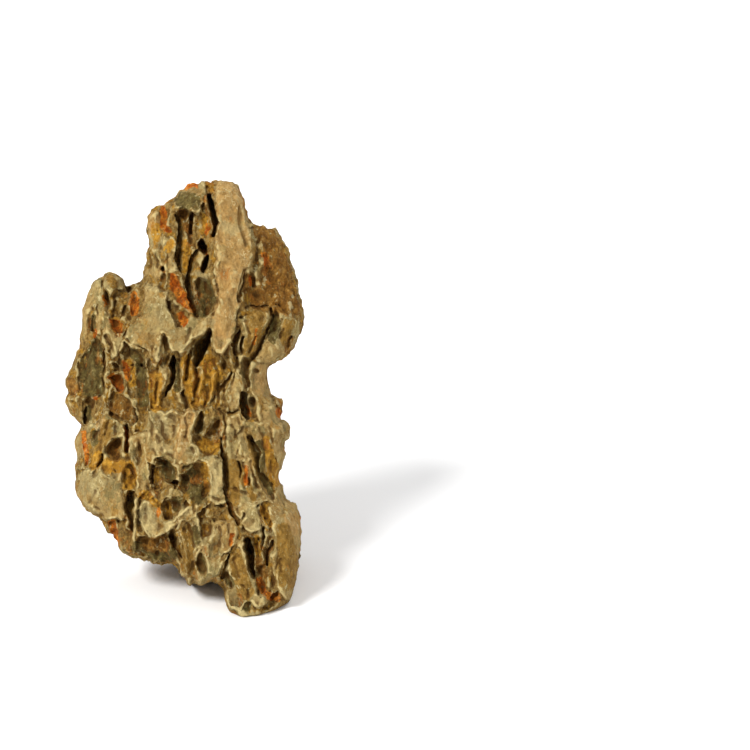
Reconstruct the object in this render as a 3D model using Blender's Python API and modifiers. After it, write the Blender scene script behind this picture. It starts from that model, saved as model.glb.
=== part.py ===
"""A dragon stone, standing: one upright piece of weathered clay rock, full of deep upright pits.

The stone is drawn face on, in millimetres: x runs across its main face, y up it and z out of it.
Its outline is filled to a slab, the slab is swelled to the stone's thickness, the pits are pressed
into both faces and the edge, and the whole is leaned back and cut off flat where it rests.
"""

import itertools
import math

import bmesh
import bpy
import numpy as np
from mathutils import Matrix

MM = 0.001
LEAN = math.radians(20)  # the main face leans back this far from upright
REST_HEIGHT = 10.8  # the resting plane, this far above the zero line of the drawing
CENTRE = (0.77, 28.9)  # the middle of the leaned stone, across and back

SLAB_HALF = 2.0  # half the slab that the stone is swelled from
FINE = 1.1  # edge of the small faces that are sculpted
TRIANGLES = 9600  # the finished stone
STONE_COLOUR = (0.34, 0.235, 0.10, 1.0)

# The stone's edge seen face on, clockwise from the top of the pillar.
OUTLINE = [
    (15, 228.3), (18, 229.6), (22, 230), (26, 229), (29.3, 226.5), (31.5, 222.5), (33.5, 217),
    (35, 210), (37.3, 206.2), (42, 206), (47, 204.5), (48.6, 205.2), (50.5, 203), (54, 197),
    (57.5, 188), (60, 180), (62, 171), (64, 164), (64.6, 156), (63, 150), (60, 142.5),
    (57, 136.5), (53, 133.3), (47, 131), (45.2, 128.5), (45.3, 122), (47, 117), (49.5, 114.8),
    (52.5, 114), (53.4, 110), (52.7, 103.8), (55.5, 101.3), (57.2, 95.5), (56.2, 91.5),
    (54, 90.5), (53.3, 88), (54.8, 84.5), (53, 78), (51.3, 74.5), (51.4, 70), (53.2, 67.3),
    (53.8, 63), (56.5, 60), (60, 58.6), (62.4, 52), (63, 42), (61.5, 28), (60.3, 16),
    (57.8, 8), (53.5, 3), (48.5, 0), (45, -2), (39, -3.4), (34, -4), (28.5, -3.4), (24.5, -1),
    (21.6, 3), (20.8, 10.5), (19.5, 14.6), (15.5, 16.2), (11, 14.2), (7, 15.6), (3.5, 13.8),
    (1, 17.5), (-2.5, 21), (-5, 24.8), (-8, 26.2), (-10.6, 23.4), (-13, 24.8), (-17, 26),
    (-24, 28.2), (-31, 30.4), (-34.8, 34), (-37.5, 40), (-41, 42.6), (-44.5, 48.6),
    (-52, 54.5), (-55.8, 60.5), (-57.6, 67.5), (-57.2, 72), (-58.3, 77.5), (-57, 82),
    (-58.2, 90), (-56.5, 96), (-54.5, 99.2), (-58.5, 103.3), (-62.2, 108.3), (-62.6, 113.5),
    (-61.8, 117), (-63, 123), (-60.5, 130), (-57.8, 137.5), (-55.2, 142), (-54.6, 152),
    (-54.4, 160.5), (-51.5, 169), (-48, 176), (-43.5, 178.8), (-40, 180.8), (-36.3, 180.8),
    (-32.4, 178), (-30.6, 174.2), (-25, 175.2), (-22.3, 176.8), (-21.3, 183), (-19.9, 191),
    (-18.8, 195.5), (-20.1, 203), (-19.2, 211), (-15.3, 215.4), (-9.8, 217), (-5.2, 220.6),
    (-2.6, 224.8), (0.5, 225.5), (4.8, 228.2), (7.6, 227.4), (10.3, 229.9),
]

# Thickness at named places: across, up, to the front and to the back of the drawing plane.
THICKNESS = {
    "pillar top": (18, 218, 17, 18),
    "pillar": (26, 190, 27, 24),
    "tower left": (-12, 198, 17, 22),
    "wing top": (50, 188, 9, 20),
    "wing": (53, 160, 15, 22),
    "leaf": (37, 146, 22, 28),
    "star plate": (-16, 155, 26, 28),
    "notch": (-27, 170, 15, 24),
    "knob": (-42, 168, 14, 18),
    "slate panel": (-50, 128, 13, 22),
    "middle": (2, 122, 28, 36),
    "waist": (38, 120, 26, 32),
    "shoulder": (-32, 104, 25, 34),
    "left lobe": (-54, 98, 15, 24),
    "belly": (4, 84, 35, 40),
    "belly right": (44, 84, 30, 38),
    "belly left": (-40, 62, 27, 32),
    "hollow": (-28, 36, 22, 36),
    "flutes": (4, 34, 31, 46),
    "heel": (40, 40, 35, 46),
    "foot": (34, 10, 36, 52),
    "foot right": (56, 20, 29, 48),
}
REACH = 17  # how far each of those places is felt
ROUNDING = 24  # edge rounding of the upper stone
FOOT_ROUNDING = 7  # and of the bluff foot
FOOT_TOP, UPPER_START = 22, 70  # the heights between which one passes into the other

# Raised plates of the main face: height and path as (across, up, half width).
PLATES = {
    "pillar": (4, [(22, 224, 8), (26, 205, 9), (27, 185, 8), (25, 165, 8)]),
    "left column": (2.5, [(-15, 208, 4), (-14, 190, 5), (-13, 178, 4)]),
    "knob left": (2.5, [(-47, 172, 4), (-50, 160, 4.5), (-50, 148, 4)]),
    "knob": (3, [(-38, 174, 5), (-39, 160, 3.5), (-41, 146, 2.5)]),
    "star": (4, [(-13, 168, 6), (-20, 155, 8), (-19, 145, 6), (-15, 136, 2.5)]),
    "star right": (4, [(-10, 152, 5), (-3, 146, 5), (-1, 141, 3)]),
    "bridge": (3.5, [(0, 150, 3), (8, 152.5, 3), (16, 152, 4.5), (20, 145, 4.5), (22, 136, 3)]),
    "leaf": (3.5, [(36, 158, 4), (37, 147, 4), (34, 139, 2)]),
    "leaf right": (3, [(42, 152, 2.6), (39, 143, 2)]),
    "wing lower": (3, [(58, 160, 4), (55, 148, 5), (51, 138, 4)]),
    "right brow": (3, [(40, 101, 4), (49, 98, 5), (51, 88, 4)]),
    "belly brow": (3.5, [(-15, 104, 5), (-10, 95, 6), (-9, 86, 4)]),
    "belly brow right": (3.5, [(3, 105, 2.5), (3, 92, 3), (1, 80, 3)]),
    "cleft rib": (3, [(17.5, 84, 2.5), (17.5, 72, 2.6), (20, 56, 2.4)]),
    "shoulder": (3, [(-46, 86, 4), (-40, 96, 4), (-33, 98, 3)]),
    "left plate": (4, [(-44, 69, 4), (-38, 61, 7), (-37, 54, 4)]),
    "knuckle": (3.5, [(-18, 57, 3), (-16.5, 50, 4.5), (-16, 45, 3)]),
    "belly hem": (3, [(-1, 52, 2.5), (0, 43, 2.5), (2, 33, 2)]),
    "toe": (3.5, [(17, 48, 3.5), (21, 38, 4), (18, 28, 3), (17, 20, 2.5)]),
    "foot plate": (4, [(55, 48, 4.5), (54, 35, 5.5), (53, 22, 5)]),
    "foot rib": (3, [(31, 30, 2.2), (30, 18, 3), (32, 8, 3)]),
}

# Pits of the main face: deepest cut, how it leans sideways and up as it goes in, and its path as
# (across, up, half width).
PITS = {
    "window": (6, 0, 0, [(1, 206, 4.5), (4, 195, 6), (7, 183, 6.5), (10, 171, 7), (12, 163, 6)]),
    "window left slot": (15, -0.3, 0, [(-2.5, 209, 1.3), (-0.6, 203.5, 1.2), (-1.5, 196, 1.6),
                                       (-1.7, 189, 1.6), (-0.6, 180.5, 0.8)]),
    "window bowl": (8, 0, 0.2, [(0.5, 209.3, 3)]),
    "window short slot": (14, 0, 0, [(4.6, 211, 1.2), (4.3, 206, 1.2), (3.8, 201.5, 0.8)]),
    "window lip": (10, 0, 0.6, [(6.5, 209.5, 0.9), (9, 210.3, 0.9), (11.2, 216, 0.7)]),
    "pillar slot": (22, 0, 0, [(14.3, 221.5, 0.8), (15, 217, 1.4), (16.6, 211, 1.6),
                               (17.3, 206, 1.9), (17.2, 202, 1.6), (16.5, 199.5, 0.9)]),
    "window hole": (20, 0, 0, [(9.8, 196, 1.6), (10.8, 193, 1.8), (11.6, 190, 1.2)]),
    "window eye": (20, 0, 0, [(12.8, 188, 1.1), (12.2, 185, 1.6), (11.5, 181.5, 1.4)]),
    "window long slot": (18, -0.3, 0, [(8.5, 192.5, 1.1), (5.3, 185, 1.2), (4.0, 178, 1.7),
                                       (4.8, 171, 2.1), (6.5, 164, 2.4), (9, 158, 1.9)]),
    "window floor": (11, 0, 0, [(10, 175, 2.6), (12, 168, 4.5), (13, 162, 4)]),
    "left column hole": (11, 0, 0, [(-10.3, 182.5, 1.5), (-10, 176, 1.4), (-10.5, 171.5, 1.2)]),
    "left column bowl": (3, 0, 0, [(-10.5, 214, 1.4), (-11, 204, 2.5), (-12, 195, 2.4)]),
    "plate edge slot": (12, -0.3, 0, [(33.8, 182.3, 0.8), (32.6, 178, 1.1), (31.2, 172, 1.1),
                                      (30.6, 164.5, 0.8)]),
    "wing gap": (9, -0.4, 0, [(38.5, 203, 1.8), (39, 196, 2.1), (38.2, 187, 1.7), (37.5, 174, 1.0)]),
    "black hole": (24, 0.1, 0, [(13.5, 148, 1.6), (12, 145, 2.4), (10, 141, 3), (8.5, 136, 2.8),
                                (7.5, 131.8, 1.6)]),
    "hole side crack": (8, 0, 0, [(5.3, 138.5, 0.9), (3.3, 133, 1.1), (2.6, 125, 0.9)]),
    "middle crack": (6, 0, 0, [(7.6, 129, 0.9), (8.2, 123, 1), (7.3, 117, 1), (8.3, 108.5, 1)]),
    "leaf left slot": (14, -0.3, 0, [(30.4, 150, 0.8), (29.2, 146, 1.4), (28.4, 141, 1.9),
                                     (29.4, 136, 1.7)]),
    "leaf inner slot": (10, 0, 0, [(32, 147, 0.9), (31.3, 140, 1.1)]),
    "leaf root": (14, 0, 0, [(33.6, 133, 2.3), (32.8, 129, 1.9), (34.2, 124, 1.2),
                             (34.8, 120, 0.9)]),
    "leaf right crack": (10, 0.3, 0, [(46.2, 161, 1.0), (47, 155.5, 1.0), (45.4, 150, 1.3),
                                      (42, 143.5, 1.2), (38.5, 138, 1.3), (35.4, 133.6, 1.3)]),
    "wing bowl": (5, 0, 0, [(48.5, 159.5, 2.2), (49, 153, 3), (47.5, 147, 2.5)]),
    "wing crack": (5, 0, 0, [(57, 146, 0.8), (55.6, 142, 0.9), (54.8, 138, 0.8)]),
    "side hole": (20, -0.2, 0, [(33, 116.5, 1.4), (32.6, 112, 2.3), (33.6, 107, 2.3),
                                (34.9, 103.5, 1.3)]),
    "side hole wall": (8, 0, 0, [(37, 112, 1.9), (37.5, 106, 2.1)]),
    "waist crack left": (6, 0, 0, [(26.4, 128, 0.8), (23.5, 123, 1.0), (20.6, 117.5, 1.0)]),
    "waist crack right": (6, 0, 0, [(31.5, 127, 0.8), (33.3, 119, 1.0)]),
    "corner cleft": (7, 0, 0, [(46.5, 115.5, 1.0), (48.2, 111, 0.9), (51.6, 105, 1.4)]),
    "heart left": (9, -0.2, 0, [(11, 106.3, 0.9), (9.8, 102, 2.3), (9, 96, 3)]),
    "heart right": (7, 0, 0, [(18.5, 101, 1.9), (17, 97, 3.2), (15, 91, 4.2), (14, 86, 2.8)]),
    "arch": (11, 0, 0.15, [(8, 75.5, 4.8), (8.5, 70, 6.2), (8.5, 65, 5)]),
    "arch left": (11, 0, 0, [(1.5, 72, 2.4), (1, 67, 2.5)]),
    "long cleft": (14, -0.25, 0, [(21.5, 92.5, 1.0), (22.3, 86.5, 1.2), (23.5, 80, 1.6),
                                  (23.6, 70, 1.4), (24.4, 62, 1.1), (26.5, 56, 1.7),
                                  (30, 47.5, 0.9)]),
    "right flute": (10, 0.2, 0, [(36, 92.5, 1.7), (38.5, 88, 2.4), (39.8, 82, 1.6),
                                 (40.2, 75, 1.4), (43, 68, 1.8), (47.3, 62.2, 1.7)]),
    "flute cell": (8, 0, 0, [(43, 73.5, 0.9), (45, 70, 1.4), (47.5, 65.5, 1.5)]),
    "rust slots": (6, 0, 0, [(29.8, 80.5, 0.8), (31, 75, 0.9), (33.3, 68, 1.1)]),
    "rim notch": (4, 0, 0, [(50.5, 67, 1.3)]),
    "saddle hole": (12, 0, 0, [(-30, 173, 1.5), (-28.5, 170, 1.2)]),
    "rust hollow": (4, 0, 0, [(-24.5, 168, 2), (-25.5, 163, 2.3), (-24, 158, 1.4)]),
    "knob arc": (4, 0, 0.5, [(-37.5, 167.3, 0.8), (-34.5, 170.3, 0.9), (-31, 171.3, 0.8)]),
    "knob pit": (7, 0, 0, [(-40.8, 168, 1.4), (-40.3, 163.5, 1.8), (-40.5, 160, 1.0)]),
    "wedge": (6, -0.3, 0, [(-46.5, 157, 1.0), (-46, 153.5, 1.7), (-47, 149.5, 1.3)]),
    "slate panel": (4, 0, 0, [(-44.5, 144, 2.2), (-45.5, 138, 3.5), (-48, 131, 6.5),
                              (-48, 123, 7), (-48.5, 119, 6)]),
    "rust pits": (4.5, 0, 0, [(-36, 154, 1.7), (-35, 151, 2.6), (-33.5, 149, 1.5)]),
    "grey hollow": (3.5, 0, 0, [(-35.5, 165, 1.2), (-35.3, 160, 1.7)]),
    "pointed arch": (7, 0, 0, [(-29.8, 142.5, 1.1), (-29, 138.5, 2.6), (-28.5, 134, 3.3),
                               (-29, 129, 3)]),
    "pointed arch side": (6, 0, 0, [(-25.5, 136, 2.8), (-22.3, 132.3, 2.5), (-20, 129.5, 1.2)]),
    "arch left groove": (4, 0, 0, [(-39.5, 146, 1.3), (-38.2, 139, 1.1), (-35.5, 133, 1.1)]),
    "red pit": (6, 0, 0, [(-36.5, 125, 1.6), (-34.6, 122.5, 2.9), (-32.8, 118.5, 2)]),
    "slate strip": (3.5, 0, 0, [(-22.5, 127.5, 1.4), (-21.5, 122, 2), (-20, 116, 2.3)]),
    "middle slot": (18, 0, 0, [(-4.6, 136.5, 0.9), (-4.8, 132, 1.5), (-4.7, 126, 1.3),
                               (-5.6, 121, 1.2), (-8, 115.3, 0.8)]),
    "middle channel": (6, 0, 0, [(-2.3, 134, 1.3), (-1.8, 127, 1.7), (-2, 120, 1.7)]),
    "plate root": (4, 0, 0, [(-10.3, 146.8, 1.0), (-8, 142, 1.3), (-8.5, 133, 1.7),
                             (-9.5, 129.5, 1.4)]),
    "seam": (4, -0.4, 0, [(-6.8, 164, 0.9), (-4.4, 156, 0.9), (-2.3, 152, 0.9), (0.5, 150.4, 0.9)]),
    "seam bowl": (3.5, 0, 0, [(-4, 162.5, 1.6), (-1.5, 157, 2.5), (1, 153.7, 2.6)]),
    "middle belt": (5, 0, 0, [(-12, 124, 8), (0, 121, 10), (12, 120, 10), (19, 122, 8)]),
    "lobe slot": (9, -0.3, 0, [(-50.8, 109, 0.9), (-51, 105, 1.3), (-50.5, 101, 1.2)]),
    "lobe bowl": (4, 0, 0, [(-50, 113, 1.9), (-48, 109, 1.6)]),
    "lobe side": (2.5, 0, 0, [(-57.5, 110, 2.2), (-56.5, 105.5, 2)]),
    "shoulder bowl": (6, 0, 0, [(-35, 114, 3.2), (-32, 109.5, 5), (-30, 104.5, 4.4)]),
    "shoulder hole": (16, 0.4, 0, [(-25.6, 107.8, 1.3), (-25.2, 104, 1.9), (-26.5, 100.5, 1.3)]),
    "red slot": (8, 0, 0, [(-28.3, 99.5, 0.9), (-29.3, 95, 1.2), (-28.8, 86, 1.0)]),
    "left hollow": (6, 0, 0, [(-33.5, 91.5, 1.6), (-35, 88, 2.6), (-35.5, 84.5, 3.3),
                              (-33.5, 82.5, 1.8)]),
    "dark gash": (6, 0, 0, [(-42, 83.8, 0.9), (-43, 79.5, 1.1), (-46.5, 73.5, 1.6)]),
    "ochre bowl": (3, 0, 0, [(-39.5, 76, 2.5), (-36.5, 74.5, 2.1)]),
    "ochre groove": (3, 0, 0, [(-27, 79, 1), (-24.8, 75, 1.5), (-27, 71, 1.6), (-29.5, 66, 1.2)]),
    "dark slot": (10, -0.2, 0, [(-26, 64, 1.4), (-26.8, 59, 2.1), (-27.6, 54, 1.7),
                                (-26, 44, 1.0)]),
    "edge pit": (4, 0, 0, [(-54.5, 69.5, 1.3), (-54, 66, 1.7), (-52.8, 62.5, 1.1)]),
    "plate hem left": (5, 0, 0.4, [(-45.5, 51.3, 1.2), (-43.5, 51.5, 1.0)]),
    "plate hem right": (5, 0, 0.4, [(-34.5, 50, 1.4), (-33, 48.5, 1.2)]),
    "under plate": (3.5, 0, 0, [(-40, 46.5, 3.6), (-33.5, 42, 5), (-31, 35, 4)]),
    "ruby bowl": (5.5, 0, 0, [(-37.5, 47.5, 1.7), (-36, 43.5, 2.3), (-35, 40, 1.2)]),
    "ridge hollow": (3, 0, 0, [(-22.5, 55, 1.1), (-22.5, 49, 1.7), (-21.5, 44.5, 1.3)]),
    "cave": (9, 0, 0.3, [(-22.5, 39.5, 1.9), (-17, 37.3, 3.2), (-11.5, 37, 3.7), (-7, 36.5, 3)]),
    "cave floor": (6, 0, 0, [(-12, 31.5, 3), (-7.5, 30, 2.4)]),
    "cave left": (4, 0, 0, [(-23.5, 32, 1.5), (-18.5, 29.5, 1.8)]),
    "cave slot": (8, -0.2, 0, [(-5, 41, 1.7), (-3, 38.5, 1.9), (-1, 34, 1.6), (0.5, 29.5, 1.0)]),
    "mask left": (12, 0, 0, [(-14.5, 78.5, 1.1), (-15.8, 74, 1.2), (-15.8, 69.5, 1.1)]),
    "mask top": (14, 0, 0.4, [(-10.7, 81, 1.8), (-8, 79.6, 1.4)]),
    "mask": (8, 0, 0, [(-12, 76, 2.6), (-8, 74.5, 3.5), (-6, 71.5, 2.9)]),
    "mask hole": (14, 0, 0, [(-4.8, 68.6, 1.4), (-3, 69, 1.7), (-3.3, 66.5, 1.1)]),
    "mask chin": (7, 0, 0, [(-12.5, 71, 2), (-12.5, 67, 1.4)]),
    "ear bowl": (8, -0.3, 0, [(-6.5, 60, 2), (-7.6, 57, 2.5), (-7, 53, 2.2), (-5, 50.5, 1.2)]),
    "ear bowl right": (5, 0, 0, [(-3.5, 59.5, 2.8), (-2.5, 56.5, 2.4)]),
    "wide flute": (4, 0, 0, [(5, 50.5, 1.7), (4.5, 45, 2.7), (6.5, 39, 3), (7, 34.5, 2)]),
    "brown cell": (4, 0, 0, [(13.5, 46.5, 2.1), (13.5, 43, 2.1), (12.3, 39.5, 1)]),
    "leaf pit": (6, 0, 0, [(11, 32.5, 1.3), (10.8, 29, 2.7), (11.3, 25, 3), (12, 21.3, 1.9)]),
    "small slit": (4, 0, 0, [(22.8, 33, 0.9), (21.3, 30.5, 1.0), (20.2, 28, 0.8)]),
    "toe border": (9, -0.3, 0, [(29.5, 35.3, 0.9), (26.5, 32, 1.0), (24, 28, 1.0), (22, 20.5, 1.1)]),
    "toe leaf": (7, 0, 0, [(24, 22.5, 1.6), (25, 18.5, 2.3), (27, 15, 1.8)]),
    "toe side": (5, 0, 0, [(21.6, 14.5, 1.1), (22.4, 11, 1.3)]),
    "foot hole": (18, 0, 0, [(34.5, 38.5, 1.6), (35.5, 35, 2.5), (36, 29, 1.9), (37, 23, 1.5),
                             (38.2, 19.5, 1.0)]),
    "foot hole wall": (7, 0, 0, [(39.5, 36.5, 1.8), (40.6, 32, 2.2), (41, 28, 1.7)]),
    "rust flute": (8, 0, 0, [(41, 25, 1.7), (40.6, 20, 1.9), (42, 15, 1.9), (43, 11.5, 1.3)]),
    "thin slot": (8, 0, 0, [(43, 46, 0.8), (43.4, 41, 0.9), (42.9, 35, 0.8)]),
    "plate slot": (9, 0, 0, [(48, 38.5, 0.9), (46.3, 34, 1.1), (45.2, 27, 0.9)]),
    "plate flute": (4, 0, 0, [(48.5, 35, 1.5), (48, 29, 1.9), (48.3, 22.5, 1.5)]),
    "sole notch": (6, 0, 0, [(34.5, 5.8, 1.7), (34, 3, 2.4)]),
    "sole cleft": (6, 0, 0, [(50.5, 11.5, 1.1), (48, 8.5, 1.7), (44.5, 4.2, 1.2)]),
    "orange groove": (4, 0, 0, [(42.5, 55.3, 1.3), (44.3, 51.5, 1.5), (46.5, 47.3, 1.0)]),
}

SEED = 7
FRONT_FACING = 0.4  # faces turned to the front more than this are left to the drawn pits
SCOOP_TRIES = 420  # scoops tried on the sides and the back; those on top of another are left out
SCOOP_WIDTH, SCOOP_HEIGHT = (2.6, 7.5), (6, 17)  # half sizes across and upright
SIDEWAYS = np.array([1, 0, 1])
LUMP, LUMP_SIZE = 8, 38  # height and size of the back's bulges
PIT_MARGIN = 0.35  # widens the narrowest slots so that the small faces can follow them
FRONT_HOLD, HOLD = 0.5, 0.0005  # the front gives up its faces less readily than the back
RELIEF = 2.0  # height of the upright ribs between the pits
RIB_WIDTH, RIB_HEIGHT = 9, 24  # size of a rib, across and up


def outline_distance(x, y):
    """How far each point lies inside the outline, and below 0 outside it."""
    near = np.full(x.shape, 1e9)
    inside = np.zeros(x.shape, bool)
    for (ax, ay), (bx, by) in zip(OUTLINE, OUTLINE[1:] + OUTLINE[:1]):
        run, rise = bx - ax, by - ay
        t = np.clip(((x - ax) * run + (y - ay) * rise) / (run * run + rise * rise), 0, 1)
        near = np.minimum(near, np.hypot(x - ax - t * run, y - ay - t * rise))
        if rise:
            inside ^= ((ay > y) != (by > y)) & (x < ax + (y - ay) * run / rise)
    return np.where(inside, near, -near)


def stroke(x, y, path):
    """Distance from a path as a share of its half width there: 0 on its line and 1 at its edge."""
    share = np.full(x.shape, 99.0)
    for (ax, ay, a_half), (bx, by, b_half) in zip(path, path[1:] or path):
        run, rise = bx - ax, by - ay
        t = np.clip(((x - ax) * run + (y - ay) * rise) / max(run * run + rise * rise, 1e-9), 0, 1)
        away = np.hypot(x - ax - t * run, y - ay - t * rise)
        share = np.minimum(share, away / (a_half + t * (b_half - a_half)))
    return share


def blend(low, high, value):
    """0 at low, 1 at high, held beyond them and smooth between."""
    t = np.clip((value - low) / (high - low), 0, 1)
    return t * t * (3 - 2 * t)


def thickness(x, y):
    """Front and back of the stone from the drawing plane: the named places, each weighed by nearness."""
    total = front = back = 0
    for across, up, to_front, to_back in THICKNESS.values():
        weight = np.exp(-((x - across) ** 2 + (0.7 * (y - up)) ** 2) / REACH**2) + 1e-9
        total = total + weight
        front = front + weight * to_front
        back = back + weight * to_back
    return front / total, back / total


def swell(x, y, depth):
    """Share of the full thickness at this depth inside the outline: a quarter ellipse to the edge rounding."""
    rounding = FOOT_ROUNDING + (ROUNDING - FOOT_ROUNDING) * blend(FOOT_TOP, UPPER_START, y)
    return np.sqrt(np.clip(1 - (1 - np.clip(depth / rounding, 0, 1)) ** 2, 0, 1))


def lattice(cell, salt):
    """Three fixed values from -1 to 1 for each whole-numbered cell."""
    mixed = (cell[..., 0] * 73856093) ^ (cell[..., 1] * 19349663) ^ (cell[..., 2] * 83492791)
    mixed = (mixed ^ (salt * 40503)) & 0xFFFFFFFF
    mixed = ((mixed ^ (mixed >> 15)) * 2246822519) & 0xFFFFFFFF
    mixed = ((mixed ^ (mixed >> 13)) * 3266489917) & 0xFFFFFFFF
    mixed ^= mixed >> 16
    return np.stack([(mixed >> shift & 1023) / 511.5 - 1 for shift in (0, 10, 20)], -1)


def noise(points, salt):
    """Smooth noise from about -1 to 1: the slopes at a cell's eight corners, eased together."""
    cell = np.floor(points).astype(np.int64)
    inside = points - cell
    ease = inside**3 * (inside * (inside * 6 - 15) + 10)
    total = 0
    for corner in itertools.product((0, 1), repeat=3):
        weight = np.prod(np.where(corner, ease, 1 - ease), axis=-1)
        total = total + weight * (lattice(cell + corner, salt) * (inside - corner)).sum(-1)
    return total * 1.4


def ribs(x, y, z, salt):
    """Upright ribs with sharp crests, from -1 between them to 1 on a crest."""
    points = np.stack([x / RIB_WIDTH, y / RIB_HEIGHT, z / RIB_WIDTH], -1)
    return 1 - 3 * np.abs(noise(points, salt))


def carved(x, y):
    """Depth cut by the deepest pit at each point, and how far that pit has leaned by there."""
    depth = np.zeros(x.shape)
    aside, up = np.zeros(x.shape), np.zeros(x.shape)
    for deepest, lean_x, lean_y, path in PITS.values():
        wide = [(across, up, half + PIT_MARGIN) for across, up, half in path]
        cut = deepest * np.sqrt(np.clip(1 - stroke(x, y, wide) ** 4, 0, 1))
        deeper = cut > depth
        depth = np.where(deeper, cut, depth)
        aside = np.where(deeper, lean_x * cut, aside)
        up = np.where(deeper, lean_y * cut, up)
    return depth, aside, up


def plates(x, y):
    """Height of the raised plates, flat on top with a steep edge, and 1 where one lies."""
    height, on_plate = np.zeros(x.shape), np.zeros(x.shape)
    for top, path in PLATES.values():
        share = np.clip(1 - stroke(x, y, path) ** 6, 0, 1) ** 0.5
        height = np.maximum(height, top * share)
        on_plate = np.maximum(on_plate, share)
    return height, on_plate


def sculpt_faces(points):
    """Swells the slab to the stone's thickness, raises the plates and presses in the pits."""
    x, y, z = points.T
    depth = outline_distance(x, y)
    front, back = thickness(x, y)
    share = swell(x, y, depth)
    raised, on_plate = plates(x, y)
    cut, aside, up = carved(x, y)
    rough = RELIEF * (1 - on_plate) * ribs(x, y, np.zeros(x.shape), 3)
    bulge = LUMP * noise(np.stack([x, y, x * 0], -1) / LUMP_SIZE, 11)
    to_front, to_back = (front + raised + rough) * share - cut, (back + bulge) * share
    is_front = z > 0
    surface = np.where(is_front, np.maximum(to_front, 3 - to_back * 0.7), -to_back)
    level = np.clip(np.abs(z) / SLAB_HALF, 0, 1)
    return np.stack([x + np.where(is_front, aside, 0), y + np.where(is_front, up, 0),
                     surface * level], -1)


def scoop(points, normals):
    """Presses seeded upright scoops and grooves into the sides and the back.

    They fade out at the widest line, which keeps the outline, and inside the drawn pits.
    """
    rng = np.random.default_rng(SEED)
    bare = np.flatnonzero(normals[:, 2] < FRONT_FACING)
    front, back = thickness(points[:, 0], points[:, 1])
    made, sunk = [], RELIEF * 0.5 * (1 - ribs(*points.T, 5))
    for _ in range(SCOOP_TRIES):
        centre, tilt = points[rng.choice(bare)], rng.normal(0, 0.25)
        sizes = np.array([0, rng.uniform(*SCOOP_HEIGHT), 0]) + rng.uniform(*SCOOP_WIDTH) * SIDEWAYS
        deepest = rng.uniform(0.6, 1.3) * sizes[0]
        if any(np.linalg.norm((centre - other) / (sizes + span)) < 0.8 for other, span in made):
            continue
        made.append((centre, sizes))
        off = points - centre
        off[:, 0] += tilt * off[:, 1]
        away = np.linalg.norm(off / sizes, axis=1)
        sunk = np.maximum(sunk, deepest * np.sqrt(np.clip(1 - away**3, 0, 1)))
    ahead = points[:, 2] - (front - back) / 2
    inward = outline_distance(points[:, 0], points[:, 1])
    outside = np.maximum(blend(10, 4, inward), blend(4, -4, ahead))
    off_front = blend(FRONT_FACING + 0.1, FRONT_FACING - 0.2, normals[:, 2])
    return points - normals * (sunk * blend(1, 7, np.abs(ahead)) * outside * off_front)[:, None]


def new_object(name, data, collection):
    thing = bpy.data.objects.new(name, data)
    collection.objects.link(thing)
    return thing


def evaluated_mesh(thing):
    """A copy of the object's mesh with its modifiers carried out."""
    graph = bpy.context.evaluated_depsgraph_get()
    return bpy.data.meshes.new_from_object(thing.evaluated_get(graph))


def replace_mesh(thing, collection):
    """Swaps the object for one that holds its finished mesh."""
    mesh = evaluated_mesh(thing)
    name = thing.name
    bpy.data.objects.remove(thing)
    return new_object(name, mesh, collection)


def outline_slab(collection):
    """The filled outline as a thin closed slab: a flat curve with thickness, its caps welded on."""
    curve = bpy.data.curves.new("outline", "CURVE")
    curve.dimensions = "2D"
    curve.fill_mode = "BOTH"
    curve.extrude = SLAB_HALF
    spline = curve.splines.new("POLY")
    spline.points.add(len(OUTLINE) - 1)
    for point, (x, y) in zip(spline.points, OUTLINE):
        point.co = (x, y, 0, 1)
    spline.use_cyclic_u = True
    slab = replace_mesh(new_object("outline", curve, collection), collection)
    work = bmesh.new()
    work.from_mesh(slab.data)
    bmesh.ops.remove_doubles(work, verts=work.verts, dist=0.001)
    bmesh.ops.recalc_face_normals(work, faces=work.faces)
    work.to_mesh(slab.data)
    work.free()
    return slab


def drop_crumbs(mesh):
    """Keeps the biggest body of the mesh, without the crumbs that deep pits cut loose."""
    work = bmesh.new()
    work.from_mesh(mesh)
    left, bodies = set(work.faces), []
    while left:
        body, border = set(), [left.pop()]
        while border:
            face = border.pop()
            body.add(face)
            fresh = {beside for edge in face.edges for beside in edge.link_faces} & left
            left -= fresh
            border.extend(fresh)
        bodies.append(body)
    biggest = max(bodies, key=len)
    loose = [face for face in work.faces if face not in biggest]
    bmesh.ops.delete(work, geom=loose, context="FACES")
    work.to_mesh(mesh)
    work.free()


def remesh(thing, collection):
    """Even small faces all over, by Blender's voxel remesher."""
    modifier = thing.modifiers.new("even faces", "REMESH")
    modifier.mode = "VOXEL"
    modifier.voxel_size = FINE
    return replace_mesh(thing, collection)


def coordinates(mesh):
    points = np.empty(len(mesh.vertices) * 3, np.float32)
    mesh.vertices.foreach_get("co", points)
    return points.reshape(-1, 3).astype(float)


def move_vertices(mesh, points):
    mesh.vertices.foreach_set("co", points.astype(np.float32).ravel())
    mesh.update()


def thin_out(thing, collection):
    """Keeps the triangles where the shape bends, down to the number wanted, most of them in front."""
    faces = sum(len(face.vertices) - 2 for face in thing.data.polygons)
    group = thing.vertex_groups.new(name="back")
    for vertex in thing.data.vertices:
        in_front = vertex.normal.y < 0
        group.add([vertex.index], FRONT_HOLD if in_front else 1.0, "REPLACE")
    modifier = thing.modifiers.new("fewer faces", "DECIMATE")
    modifier.ratio = TRIANGLES / faces
    modifier.vertex_group = group.name
    modifier.vertex_group_factor = HOLD
    modifier.use_collapse_triangulate = True
    return replace_mesh(thing, collection)


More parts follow.
